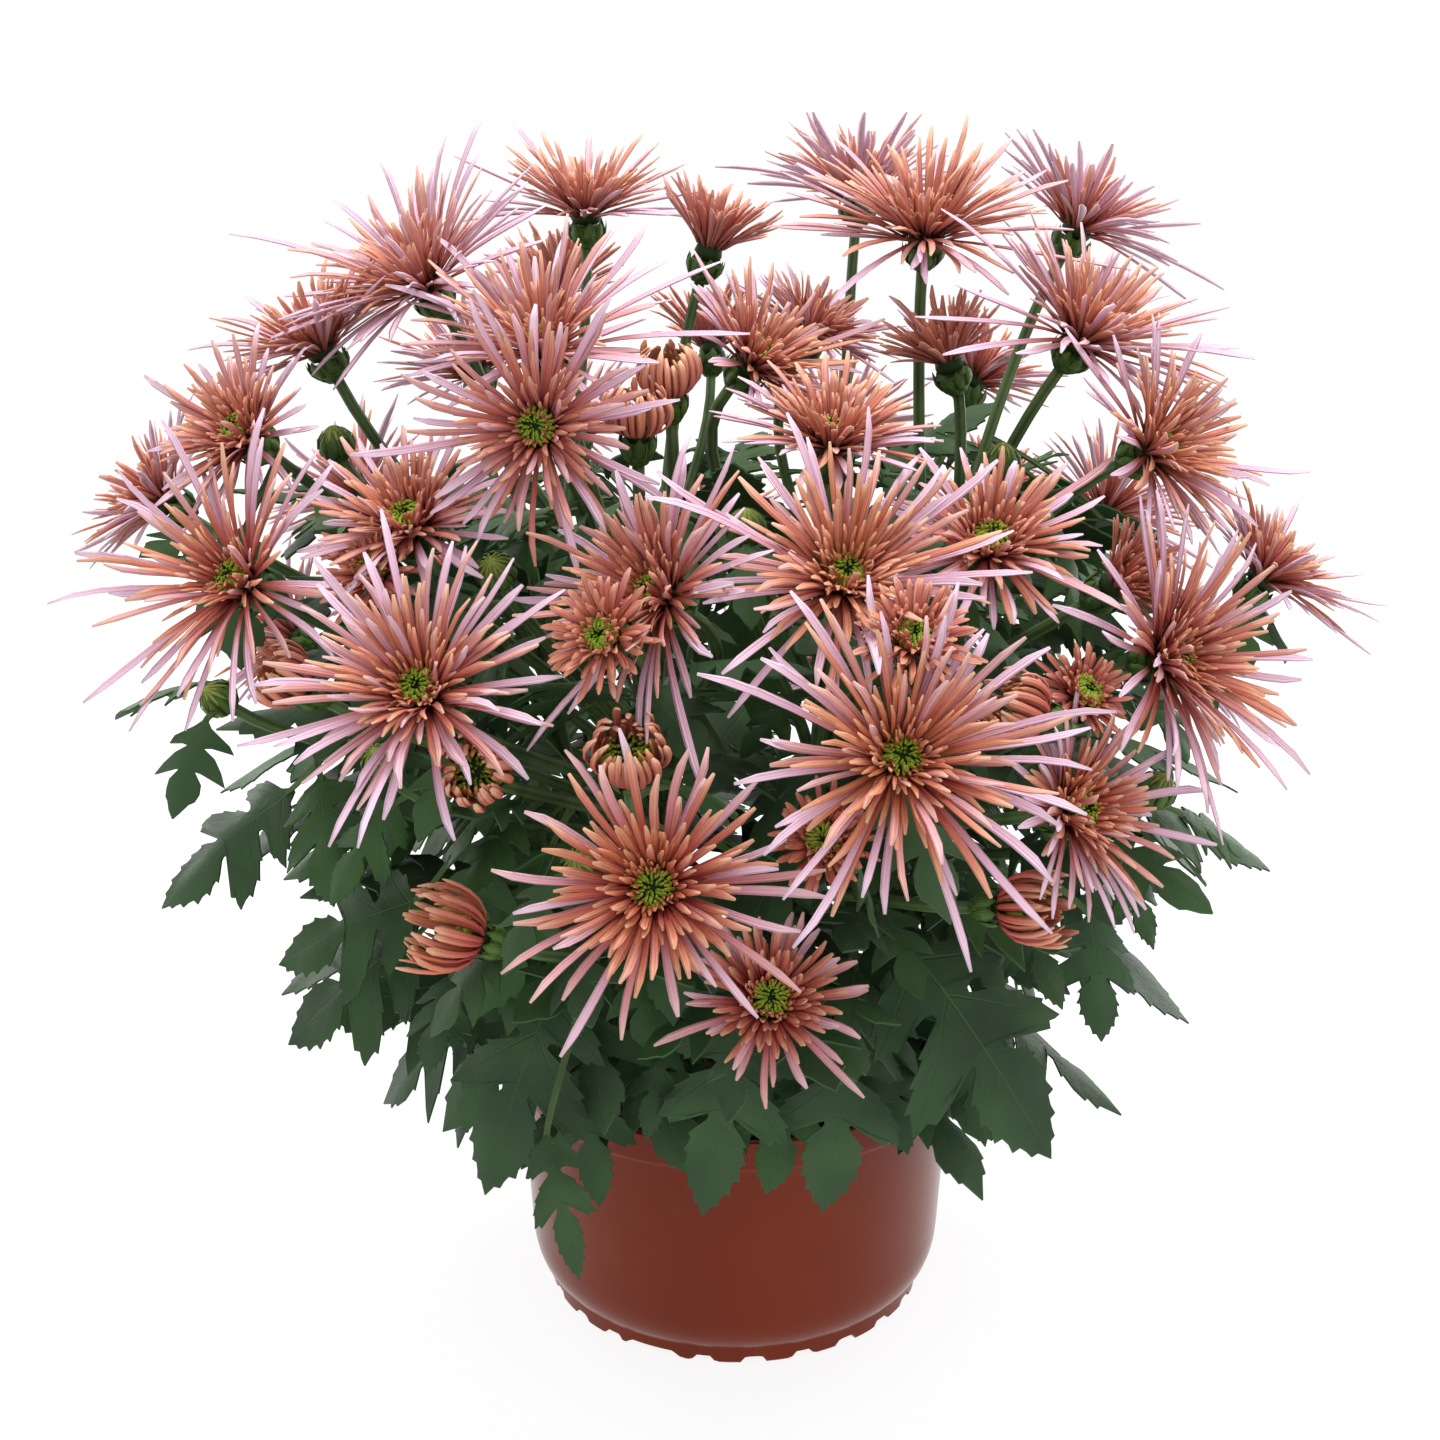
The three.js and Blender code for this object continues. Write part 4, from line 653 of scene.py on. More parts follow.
def blade_balls(middle, name, step, radius):
    at = []
    for a, b, c in middle[BLADE_TOP]:
        longest = max(np.linalg.norm(a - b), np.linalg.norm(b - c), np.linalg.norm(c - a))
        steps = math.ceil(longest / step)
        i, j = np.meshgrid(np.arange(steps + 1), np.arange(steps + 1), indexing="ij")
        i, j = i[i + j <= steps][:, None] / steps, j[i + j <= steps][:, None] / steps
        at.append(a * (1 - i - j) + b * i + c * j)
    return balls_of(np.concatenate(at), radius, name)


wood = {"start": [], "way": [], "stem": []}
for stem in stems:
    for path in stem["paths"]:
        for start, end in zip(path, path[1:]):
            wood["start"].append(start)
            wood["way"].append(end - start)
            wood["stem"].append(stem)
wood_start, wood_way = np.array(wood["start"]), np.array(wood["way"])


def nearest_wood(point):
    """The stem that is nearest to a point, the nearest spot on it and how far it is."""
    share = ((point - wood_start) * wood_way).sum(1) / (wood_way**2).sum(1)
    spots = wood_start + wood_way * np.clip(share, 0, 1)[:, None]
    far = np.linalg.norm(spots - point, axis=1)
    best = int(np.argmin(far))
    return wood["stem"][best], spots[best], far[best]


head_seats = np.array([head["seat"] for head in heads])
head_axes = np.array([head["axis"] for head in heads])
head_reach = np.array([head["reach"] for head in heads])


# a blade stays out of HEAD_SHARE of a head's reach and a margin in mm, a stalk may touch the
# wood over STALK_SHARE of its length and a margin, and a blade can't fold back on its stalk
# further than SHARPEST_KNEE, the cosine of the angle between the two
HEAD_SHARE = 0.7
HEAD_MARGIN = 4
STALK_SHARE = 0.6
STALK_MARGIN = 4
SHARPEST_KNEE = -0.2


def hides_head(points):
    """True where a blade would stand in front of a flower head."""
    arms = points[None] - head_seats[:, None]
    before = (arms * head_axes[:, None]).sum(2) > -1
    kept_free = head_reach[:, None] * HEAD_SHARE + HEAD_MARGIN
    return (before & (np.linalg.norm(arms, axis=2) < kept_free)).any()


def grow_leaf(draft, seed, tries=60, grade="ring"):
    """Grows one leaf; grade is seen or ring for packed leaves, or filling or small."""
    draw = random_from(seed)
    is_extra = grade in ("filling", "small")
    for attempt in range(tries):
        leaf = draft(draw, attempt)
        stem, spot, far = nearest_wood(leaf["base"])
        if far > LONGEST_STALK:
            continue
        leaf.update(arch=0.1 + spread(draw, 0.05), root=spot, grade=grade)
        middle, lifts, bent = sheet_middle(leaf)
        if bent < SHARPEST_KNEE or hides_head(middle):
            continue
        skin = np.concatenate([middle + lifts, middle - lifts])
        if not is_extra and crosses_itself(skin, BLADE_SKIN):
            continue
        balls = blade_balls(middle, stem["name"], *(EXTRA_BALLS if is_extra else PACKED_BALLS))
        from_foot = np.linalg.norm(balls["at"] - spot, axis=1)
        balls["free"] = from_foot > far * STALK_SHARE + STALK_MARGIN
        if is_clear(balls):
            take_room(balls)
            stem["leaves"].append(leaf)
            return


def seen_leaf_draft(base_pixel, tip_pixel, fronts, wide):
    def draft(draw, attempt):
        shift = spread(draw, attempt * 0.5)
        base = place_at(base_pixel, fronts[0] + shift)
        tip = place_at(tip_pixel, fronts[1] + shift + spread(draw, attempt * 0.25))
        facing = unit(np.array([base[0], base[1], 0])) * 0.45 + [0, -0.35, 0.75]
        facing[0] += spread(draw, attempt * 0.01)
        return {"base": base, "tip": tip, "facing": facing, "wide": wide * (1 - attempt * 0.006)}
    return draft


def ring_leaf_draft(ring, place):
    from_bearing, to_bearing, _, out, height, length, pitch = ring

    def draft(draw, attempt):
        bearing = from_bearing + (to_bearing - from_bearing) * place
        bearing += spread(draw, 6 + attempt * 0.5)
        level = height + spread(draw, 8 + attempt * 0.4)
        base = point_on(bearing, out + spread(draw, 5 + attempt * 0.3), level)
        way = direction(bearing + spread(draw, 25 + attempt), pitch + spread(draw, 12))
        return {"base": base, "tip": base + way * length * (1 - attempt * 0.006),
                "facing": direction(bearing, 0) * 0.5 + UP, "wide": 0.76 + spread(draw, 0.06)}
    return draft


for number, row in enumerate(SEEN_LEAVES):
    grow_leaf(seen_leaf_draft(*row), SEEDS["seen_leaf"] + number, grade="seen")
for ring_number, ring in enumerate(LEAF_RINGS):
    for i in range(ring[2]):
        grow_leaf(ring_leaf_draft(ring, i / (ring[2] - 1)),
                  SEEDS["ring_leaf"] + ring_number * 40 + i)
print("leaves:", sum(len(stem["leaves"]) for stem in stems))

# %% [markdown]
# ## More leaves
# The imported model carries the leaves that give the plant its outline. A real pot plant is
# denser still: the dome of heads stands on a dark bed of foliage. The same rule grows more
# leaves wherever there is room among the branches, and keeps them clear of everything.

# %% Fill the plant with leaves
FILLING = 190
FILLING_TRIES = 20


def filling_draft(draw, attempt):
    """A leaf anywhere in the plant, which is widest at mid height."""
    bearing = draw() * 360
    height = 95 + draw() * 160
    widest = min(45 + height * 0.38, 185 - height * 0.36)
    out = 15 + (widest - 15) * math.sqrt(draw())
    base = point_on(bearing, out, height)
    way = direction(bearing + spread(draw, 60), -70 + draw() * 75)
    length = 36 + draw() * 24
    return {"base": base, "tip": base + way * length, "facing": direction(bearing, 0) + UP * 0.6,
            "wide": 0.78 + spread(draw, 0.06)}


SMALL = 320
SMALL_TRIES = 14
SMALL_HIGHEST = 262


def small_draft(draw, attempt):
    """A small leaf on a short stalk at a random spot of a branch."""
    index = int(draw() * len(wood_start))
    spot = wood_start[index] + wood_way[index] * draw()
    bearing = math.degrees(math.atan2(spot[0], -spot[1])) + spread(draw, 80)
    base = spot + direction(bearing, -10 + draw() * 50) * (5 + draw() * 9)
    base[2] = min(base[2], SMALL_HIGHEST)
    way = direction(bearing + spread(draw, 35), -70 + draw() * 80)
    return {"base": base, "tip": base + way * (22 + draw() * 14),
            "facing": direction(bearing, 0) + UP * 0.6, "wide": 0.78 + spread(draw, 0.06)}


before = sum(len(stem["leaves"]) for stem in stems)
for i in range(FILLING):
    grow_leaf(filling_draft, SEEDS["filling"] + i, FILLING_TRIES, "filling")
for i in range(SMALL):
    grow_leaf(small_draft, SEEDS["small"] + i, SMALL_TRIES, "small")
print("leaves that fill:", sum(len(stem["leaves"]) for stem in stems) - before)

# %% [markdown]
# ## From lists of points to meshes
# Nearly everything on the plant is a closed tube or sheet of its own: a ray, a floret, a
# stem, a scale. They are made many at a time as NumPy arrays. A small kit collects their
# points, faces, places on the surface (a UV map, which tells a material how far along and
# across it is) and an age from 0, outermost, to 1, at the eye. Age drives the colours.

# %% A kit that collects tubes and sheets into one mesh
class MeshKit:
    def __init__(self):
        self.points, self.faces, self.places, self.ages, self.slots = [], [], [], [], []
        self.count = 0

    def add(self, points, faces, places, age, slot=0):
        """Adds one lot: points (n, 3), lists of faces, a UV for each point, and an age.

        slot is the material slot of the whole lot, or a list with one for each list of faces.
        """
        points = np.asarray(points, float).reshape(-1, 3)
        self.points.append(points)
        self.places.append(np.asarray(places, float).reshape(-1, 2))
        self.ages.append(np.broadcast_to(age, len(points)).astype(float))
        slots = slot if isinstance(slot, list) else [slot] * len(faces)
        for rows, its_slot in zip(faces, slots):
            rows = np.asarray(rows, int) + self.count
            self.faces.append(rows)
            self.slots.append(np.full(len(rows), its_slot))
        self.count += len(points)

    def build(self, name, materials, sharp_degrees=180):
        """Makes the object, in metres, with its UV map, ages and material slots."""
        points = np.concatenate(self.points) * MM
        sizes = np.concatenate([np.full(len(rows), rows.shape[1]) for rows in self.faces])
        loops = np.concatenate([rows.ravel() for rows in self.faces])
        mesh = bpy.data.meshes.new(name)
        mesh.vertices.add(len(points))
        mesh.vertices.foreach_set("co", points.ravel())
        mesh.loops.add(len(loops))
        mesh.loops.foreach_set("vertex_index", loops)
        mesh.polygons.add(len(sizes))
        mesh.polygons.foreach_set("loop_start", np.concatenate([[0], np.cumsum(sizes)[:-1]]))
        mesh.polygons.foreach_set("material_index", np.concatenate(self.slots))
        mesh.polygons.foreach_set("use_smooth", np.ones(len(sizes), bool))
        uv = mesh.uv_layers.new(name="along")
        uv.data.foreach_set("uv", np.concatenate(self.places)[loops].ravel())
        age = mesh.attributes.new("age", "FLOAT", "POINT")
        age.data.foreach_set("value", np.concatenate(self.ages))
        mesh.update(calc_edges=True)
        mesh.validate()
        if sharp_degrees < 180:
            mesh.set_sharp_from_angle(angle=math.radians(sharp_degrees))
        piece = bpy.data.objects.new(name, mesh)
        for material in materials:
            mesh.materials.append(material)
        bpy.context.scene.collection.objects.link(piece)
        return piece


def triangles_in(piece):
    return sum(len(polygon.vertices) - 2 for polygon in piece.data.polygons)


def tube_faces(count, rings, sides):
    """Faces of `count` tubes, each with `rings` rings of `sides` points, closed at both ends."""
    tube = np.arange(count)[:, None, None] * rings * sides
    ring = np.arange(rings - 1)[None, :, None] * sides
    side = np.arange(sides)[None, None, :]
    after = (side + 1) % sides
    quads = np.stack([tube + ring + side, tube + ring + after,
                      tube + ring + sides + after, tube + ring + sides + side], -1)
    ends = np.arange(count)[:, None] * rings * sides
    root = ends + np.arange(sides)[::-1][None]
    tip = ends + (rings - 1) * sides + np.arange(sides)[None]
    return [quads.reshape(-1, 4), root, tip]


def sweep(paths, across, half_widths, section, twist=0.0):
    """Sweeps a cross-section along many paths at once.

    paths is (n, rings, 3), across is each path's sideways direction (n, 3), half_widths is
    (n, rings), and section is a list of (sideways, upwards) shares of the half width.
    """
    along = np.gradient(paths, axis=1)
    along /= np.linalg.norm(along, axis=2, keepdims=True)
    side = across[:, None] - along * (along * across[:, None]).sum(2, keepdims=True)
    side /= np.linalg.norm(side, axis=2, keepdims=True)
    top = np.cross(side, along)
    turn = np.asarray(twist) * np.linspace(0, 1, paths.shape[1])
    turn = np.broadcast_to(turn, paths.shape[:2])[..., None]
    side, top = side * np.cos(turn) + top * np.sin(turn), top * np.cos(turn) - side * np.sin(turn)
    section = np.array(section)
    shift = side[:, :, None] * section[None, None, :, :1] + top[:, :, None] * section[None, None, :, 1:]
    return paths[:, :, None] + shift * half_widths[:, :, None, None]


def along_places(count, rings, sides, section):
    """A UV for each point of many swept tubes: across from 0 to 1, along from 0 to 1."""
    across = np.array([0.5 + 0.5 * sideways for sideways, _ in section])
    u = np.broadcast_to(across, (count, rings, sides))
    v = np.broadcast_to(np.linspace(0, 1, rings)[None, :, None], (count, rings, sides))
    return np.stack([u, v], -1)


def curves(controls, rings):
    """Many curves at once: starts, first and second pulling points, and ends, each (n, 3)."""
    t = np.linspace(0, 1, rings)[None, :, None]
    a, b, c, d = [np.asarray(control)[:, None] for control in controls]
    return (1 - t) ** 3 * a + 3 * (1 - t) ** 2 * t * b + 3 * (1 - t) * t**2 * c + t**3 * d


# %% [markdown]
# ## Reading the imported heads
# A packed head is a small core with a few plain spikes, one for each main ray. Their tips are
# the points with just three neighbours that lie far from the seat. The finer rays start from
# these, so that the head keeps its form, and the gaps between them are filled by the rule.

# %% Find the spikes of a packed head
CORE_REACH = 9


def spike_tips(head):
    """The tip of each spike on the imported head, in mm."""
    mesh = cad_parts[head["name"]].data
    corners = np.array([vertex.co for vertex in mesh.vertices], float) / MM
    spots, same = np.unique(corners.round(2), axis=0, return_inverse=True)
    same = same.ravel()
    neighbours = {}
    for polygon in mesh.polygons:
        loop = [int(same[index]) for index in polygon.vertices]
        for a in loop:
            neighbours.setdefault(a, set()).update(b for b in loop if b != a)
    far = np.linalg.norm(spots - head["seat"], axis=1)
    tips = []
    for index, near in neighbours.items():
        ring = sorted(near)
        if len(ring) == 3 and far[index] >= CORE_REACH and far[index] >= far[ring].max():
            tips.append(spots[index])
    return np.array(tips)


# %% [markdown]
# ## Rays
# A ray floret starts as a narrow tube on the green calyx and widens into a shallow trough.
# The outer rays are the longest, pointed and spread flat, the next ones are blunt and stand
# up, and round the eye they are short and hook inwards. Each layer has its own lengths, widths
# and lift, and each ray is a swept trough whose lift, length, bend and twist vary a little.

# %% Layers of rays
TROUGH = [(-1, 0.34), (-0.4, 0.04), (0.4, 0.04), (1, 0.34), (0.5, -0.36), (-0.5, -0.36)]
NARROW = [(-1, 0.3), (0, 0.02), (1, 0.3), (0.5, -0.4), (-0.5, -0.4)]
QUILL = [(-0.9, 0.3), (0.9, 0.3), (0.6, -0.5), (-0.6, -0.5)]
SECTIONS = {"outer": TROUGH, "second": NARROW, "third": NARROW, "fourth": QUILL, "inner": QUILL}
# name, rays, shortest and longest share of the reach, lowest and highest lift, half width, age
LAYERS = {
    "bloom": [
        ("outer", 13, 0.68, 0.97, 0, 28, 1.02, 0.0), ("second", 36, 0.54, 0.88, 8, 46, 0.9, 0.3),
        ("third", 42, 0.4, 0.66, 24, 60, 0.8, 0.48), ("fourth", 36, 0.28, 0.45, 40, 66, 0.68, 0.62),
        ("inner", 40, 0.18, 0.3, 48, 72, 0.5, 0.76)],
    "dark_bloom": [
        ("outer", 14, 0.75, 1.0, 22, 44, 0.92, 0.35), ("second", 24, 0.66, 0.92, 36, 58, 0.84, 0.5),
        ("third", 26, 0.5, 0.8, 48, 68, 0.76, 0.62), ("inner", 26, 0.34, 0.6, 56, 78, 0.62, 0.76)],
    "curled_bloom": [
        ("outer", 18, 0.8, 1.05, 6, 32, 0.85, 0.42), ("second", 24, 0.66, 0.95, 24, 50, 0.78, 0.55),
        ("third", 26, 0.5, 0.8, 40, 64, 0.68, 0.68), ("inner", 26, 0.36, 0.55, 54, 76, 0.56, 0.8)],
}
# heads with fewer or more rays than the others
DENSITY = {"bloom_05": 0.66, "bloom_11": 0.8, "bloom_12": 0.85, "bloom_17": 1.2, "bloom_18": 1.3,
           "bloom_19": 1.25, "bloom_20": 1.25, "bloom_22": 1.25, "bloom_24": 1.2, "bloom_25": 1.3,
           "bloom_26": 1.2, "bloom_28": 1.25, "bloom_30": 1.15}
RAY_RINGS = {"outer": 7, "second": 6, "third": 5, "fourth": 5, "inner": 4}
# rays, how wide and how tall as shares of the reach, half width, age
CUP_ROWS = [(15, 0.7, 0.98, 1.05, 0.46), (17, 0.6, 0.92, 0.95, 0.6), (18, 0.48, 0.76, 0.7, 0.84)]
CUP_RINGS = 7
# young heads seen from the side, already open at the top: how far their tips lean out
OPEN_CUPS = {"young_bloom_60": 1.15, "young_bloom_58": 0.9}
# how wide a ray is along its length: the long ones are spears, the others have blunt tips
SPEAR = ([0, 0.08, 0.3, 0.5, 0.7, 0.86, 0.95, 1.0], [0.55, 0.6, 0.74, 0.92, 1.0, 0.92, 0.72, 0.34])
BLUNT = ([0, 0.08, 0.3, 0.5, 0.7, 0.88, 0.96, 1.0], [0.6, 0.64, 0.78, 0.92, 1.0, 0.98, 0.8, 0.42])


def head_directions(head):
    """Two directions square to a head's axis and to each other."""
    first = unit(np.cross(head["axis"], [0, 1, 0] if abs(head["axis"][2]) > 0.9 else UP))
    return first, np.cross(head["axis"], first)


def directions_round(head, turn):
    """Directions that point away from a head's axis, one for each turn in radians."""
    first, second = head_directions(head)
    turn = np.asarray(turn)[:, None]
    return first * np.cos(turn) + second * np.sin(turn)


def shaken_turns(chance, count, shake):
    """Turns in radians, evenly round a circle, each shaken by a share of its step."""
    return 2 * math.pi * (np.arange(count) + chance.uniform(-shake, shake, count)) / count


def rays_layer(head, chance, layer):
    """The roots, tips and outward directions of one layer of rays round the head, with its name, age and
    half width.
    """
    name, count, short, long, low, high, half_width, age = layer
    count = round(count * DENSITY.get(head["name"], 1.08))
    axis, seat, reach = head["axis"], head["seat"], head["reach"]
    turn = shaken_turns(chance, count, 0.38)
    out = directions_round(head, turn + chance.uniform(0, 6.28))
    lift = np.radians(chance.uniform(low, high, count))
    length = reach * chance.uniform(short, long, count)
    tip = seat + (out * np.cos(lift)[:, None] + axis * np.sin(lift)[:, None]) * length[:, None]
    rise = head["form"]["height"] * (0.1 + 0.75 * age)
    root_out = head["form"]["radius"] * (0.92 - 0.26 * age)
    root = seat + out * root_out + axis * rise
    return root, tip, out, name, age, half_width


def shape_rays(head, chance, root, tip, out, name, half_width, hook):
    """Bends rays from root to tip: up from the root at first, then over to the tip."""
    axis = head["axis"]
    span = np.linalg.norm(tip - root, axis=1, keepdims=True)
    way = (tip - root) / span
    away = out - way * (out * way).sum(1, keepdims=True)
    sideways = np.cross(out, axis)
    bow = chance.uniform(0.02, 0.13, (len(root), 1))
    stray = chance.uniform(-0.09, 0.09, (len(root), 1))
    hook = hook + chance.uniform(-0.06, 0.1, (len(root), 1))
    start = root + (way + axis * bow * 2.2) * span * 0.34
    bend = root + way * span * 0.7 + axis * bow * span * 0.5 + sideways * stray * span - away * hook * span
    paths = curves((root, start, bend, tip), RAY_RINGS[name])
    shares = np.linspace(0, 1, RAY_RINGS[name])
    widths = np.interp(shares, *(SPEAR if name == "outer" else BLUNT))[None] * half_width
    widths = widths * chance.uniform(0.82, 1.15, (len(root), 1))
    return paths, sideways / np.linalg.norm(sideways, axis=1, keepdims=True), widths


def add_rays(kit, head, chance, root, tip, out, name, age, half_width, hook=0.0):
    paths, across, widths = shape_rays(head, chance, root, tip, out, name, half_width, hook)
    section = SECTIONS[name]
    twist = chance.uniform(-0.35, 0.35, (len(root), 1))
    points = sweep(paths, across, widths, section, twist)
    count, rings, sides = points.shape[:3]
    ages = age + head["warmth"] * (1 - age) + chance.uniform(-0.1, 0.1, count)
    kit.add(points, tube_faces(count, rings, sides), along_places(count, rings, sides, section),
            np.repeat(ages, rings * sides))


# a main ray is an outer one if it is longer than this share of the reach on a full head, or
# rises by fewer degrees than this on the others
OUTER_SHARE = 0.64
OUTER_LIFT = 48


def add_spike_rays(kit, head, chance):
    """The main rays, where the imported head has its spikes."""
    tips = spike_tips(head)
    arms = tips - head["seat"]
    along_axis = arms @ head["axis"]
    out = arms - along_axis[:, None] * head["axis"]
    out /= np.linalg.norm(out, axis=1, keepdims=True)
    share = np.linalg.norm(arms, axis=1) / head["reach"]
    lift = np.degrees(np.arcsin(along_axis / np.linalg.norm(arms, axis=1)))
    layers = LAYERS[head["kind"]]
    is_full = head["kind"] == "bloom"
    for is_outer in (True, False):
        chosen = (share > OUTER_SHARE if is_full else lift < OUTER_LIFT) == is_outer
        if not chosen.any():
            continue
        name, _, _, _, _, _, half_width, age = layers[0 if is_outer else 1]
        rise = head["form"]["height"] * (0.15 + 0.75 * age)
        root = head["seat"] + out[chosen] * head["form"]["radius"] * 0.84 + head["axis"] * rise
        add_rays(kit, head, chance, root, tips[chosen], out[chosen], name, age, half_width)


def add_cup(kit, head, chance):
    """A young head: rows of rays that bulge out of the calyx and close in again above it."""
    axis, seat = head["axis"], head["seat"]
    for count, wide, tall, width, age in CUP_ROWS:
        out = directions_round(head, shaken_turns(chance, count, 0.25))
        wide = wide * head["reach"] * chance.uniform(0.9, 1.08, (count, 1))
        tall = tall * head["reach"] * chance.uniform(0.78, 1.14, (count, 1))
        openness = OPEN_CUPS.get(head["name"])
        close = chance.uniform(0.45, 0.95, (count, 1))
        if openness:
            close = close * openness + 0.4 * (1 - age)
            tall = tall * 1.18
        paths = curves((seat + out * 3.2, seat + out * wide * 1.14 + axis * tall * 0.16,
                        seat + out * wide * 1.08 + axis * tall * 0.8,
                        seat + out * wide * close + axis * tall), CUP_RINGS)
        widths = np.interp(np.linspace(0, 1, CUP_RINGS), *BLUNT)[None] * width
        widths = widths * chance.uniform(0.8, 1.15, (count, 1))
        points = sweep(paths, np.cross(out, axis), widths, NARROW, chance.uniform(-0.5, 0.5, (count, 1)))
        sides = len(NARROW)
        kit.add(points, tube_faces(count, CUP_RINGS, sides), along_places(count, CUP_RINGS, sides, NARROW),
                np.repeat(age + chance.uniform(-0.1, 0.1, count), CUP_RINGS * sides))


# %% [markdown]
# ## The eye
# The middle of a head is a tuft of young florets, still green. They stand close together and
# lean in round a small dark hollow. Below them a solid core joins the rays to the calyx. The
# core and the dome under the florets are near-black green: painted shade for the hollow.

# %% The eye's florets
STALK_SECTION = [(1, 0), (-0.5, 0.87), (-0.5, -0.87)]
# share of the eye's radius, florets, height, inward lean
EYE_RINGS = [(0.2, 5, 0.7, 0.1), (0.4, 9, 1.05, 0.45), (0.6, 13, 1.2, 0.7), (0.8, 17, 1.15, 0.85),
             (0.98, 20, 1.0, 0.8)]
EYE_SHARES = {"bloom": 0.82, "curled_bloom": 0.84, "dark_bloom": 0.62, "young_bloom": 1.4}
# the core under the eye and the dome that the florets stand on: share of the radius, and mm up
EYE_CORE = [(0.3, -2.2), (0.72, -1.6), (0.86, 0.0), (0.78, 1.8)]
EYE_DOME = [(1.0, -0.6), (0.9, 0.5), (0.5, 0.9), (0.12, 0.2)]
EYE_SIDES = 14


def add_eye(kit, head, chance):
    axis = head["axis"]
    radius = head["form"]["radius"] * EYE_SHARES[head["kind"]]
    ground = head["seat"] + axis * head["form"]["height"] * 0.72
    ring = directions_round(head, np.linspace(0, 2 * math.pi, EYE_SIDES, endpoint=False))
    core = [ring * head["form"]["radius"] * share + head["seat"] + axis * up
            for share, up in EYE_CORE]
    dome = core + [ring * radius * share + ground + axis * up for share, up in EYE_DOME]
    # Age 1 gives the core and dome the eye's near-black green, painted shade for its hollow.
    kit.add(np.array(dome), tube_faces(1, len(dome), EYE_SIDES),
            np.zeros((len(dome) * EYE_SIDES, 2)), 1.0, slot=1)
    for share, count, tall, lean in EYE_RINGS:
        out = directions_round(head, shaken_turns(chance, count, 0.3))
        root = ground + out * radius * share
        height = tall * chance.uniform(1.7, 2.5, (count, 1))
        tip = root + axis * height - out * lean * chance.uniform(0.7, 1.5, (count, 1))
        middle = root + axis * height * 0.6 + out * 0.45
        paths = curves((root, middle, middle + axis * height * 0.35, tip), 3)
        widths = np.array([0.45, 0.62, 0.3])[None] * chance.uniform(0.85, 1.15, (count, 1))
        points = sweep(paths, np.cross(out, axis), widths, STALK_SECTION)
        kit.add(points, tube_faces(count, 3, 3), along_places(count, 3, 3, STALK_SECTION),
                share * 0.9, slot=1)


# %% [markdown]
# ## Materials of the flowers and the green parts
# All materials are made of shader nodes, with no pictures. A ray's colour runs along its
# length, from a dark salmon root to a lilac tip, and it changes with the ray's age: old outer
# rays are lilac, young inner ones are orange-red, and the last ones round the eye are green.
# Rays high on the plant are mixed towards a pale peach: painted light from the lamp above.

# %% Small helpers for shader nodes
def new_material(name, roughness, **sockets):
    """A material with a Principled shader; uniform values are set on the shader itself."""
    material = bpy.data.materials.new(name)
    material.use_nodes = True
    shader = material.node_tree.nodes["Principled BSDF"]
    shader.inputs["Roughness"].default_value = roughness
    for socket, value in sockets.items():
        shader.inputs[socket.replace("_", " ")].default_value = value
    return material, shader


class Wiring:
    """Adds nodes to a material and joins them with short calls."""

    def __init__(self, material):
        self.tree = material.node_tree

    def node(self, kind, **values):
        made = self.tree.nodes.new(kind)
        for key, value in values.items():
            setattr(made, key, value)
        return made

    def join(self, source, target):
        self.tree.links.new(source, target)

    def math(self, operation, a, b=0.0, c=None):
        made = self.node("ShaderNodeMath", operation=operation)
        for socket, value in zip(made.inputs, (a, b, c)):
            if value is None:
                continue
            if isinstance(value, (int, float)):
                socket.default_value = value
            else:
                self.join(value, socket)
        return made.outputs[0]

    def node_range(self, value, low, high):
        """A share from 0 at low to 1 at high."""
        made = self.node("ShaderNodeMapRange")
        made.inputs["From Min"].default_value = low
        made.inputs["From Max"].default_value = high
        self.join(value, made.inputs["Value"])
        return made.outputs[0]

    def ramp(self, share, stops):
        """A colour that changes with a share: stops is a list of (share, colour)."""
        made = self.node("ShaderNodeValToRGB")
        elements = made.color_ramp.elements
        while len(elements) < len(stops):
            elements.new(0.5)
        for element, (place, colour) in zip(elements, stops):
            element.position = place
            element.color = to_linear(*colour)
        self.join(share, made.inputs[0])
        return made.outputs[0]

    def mix(self, share, a, b, blend="MIX"):
        made = self.node("ShaderNodeMix", data_type="RGBA", blend_type=blend)
        for socket, value in ((made.inputs[0], share), (made.inputs[6], a), (made.inputs[7], b)):
            if isinstance(value, (int, float, tuple)):
                socket.default_value = value
            else:
                self.join(value, socket)
        return made.outputs[2]

    def noise(self, scale, detail=2.0, vector=None, roughness=0.5):
        made = self.node("ShaderNodeTexNoise")
        made.inputs["Scale"].default_value = scale
        made.inputs["Detail"].default_value = detail
        made.inputs["Roughness"].default_value = roughness
        if vector is not None:
            self.join(vector, made.inputs["Vector"])
        return made.outputs["Fac"]

    def object_place(self):
        return self.node("ShaderNodeTexCoord").outputs["Object"]

    def along(self):
        """Across and along a piece, from its UV map."""
        split = self.node("ShaderNodeSeparateXYZ")
        self.join(self.node("ShaderNodeUVMap", uv_map="along").outputs[0], split.inputs[0])
        return split.outputs[0], split.outputs[1]

    def age(self):
        return self.node("ShaderNodeAttribute", attribute_name="age").outputs["Fac"]

    def tone(self):
        return self.node("ShaderNodeAttribute", attribute_name="tone").outputs["Fac"]

    def bump(self, height, strength, distance, shader):
        made = self.node("ShaderNodeBump")
        made.inputs["Strength"].default_value = strength
        made.inputs["Distance"].default_value = distance
        self.join(height, made.inputs["Height"])
        self.join(made.outputs[0], shader.inputs["Normal"])


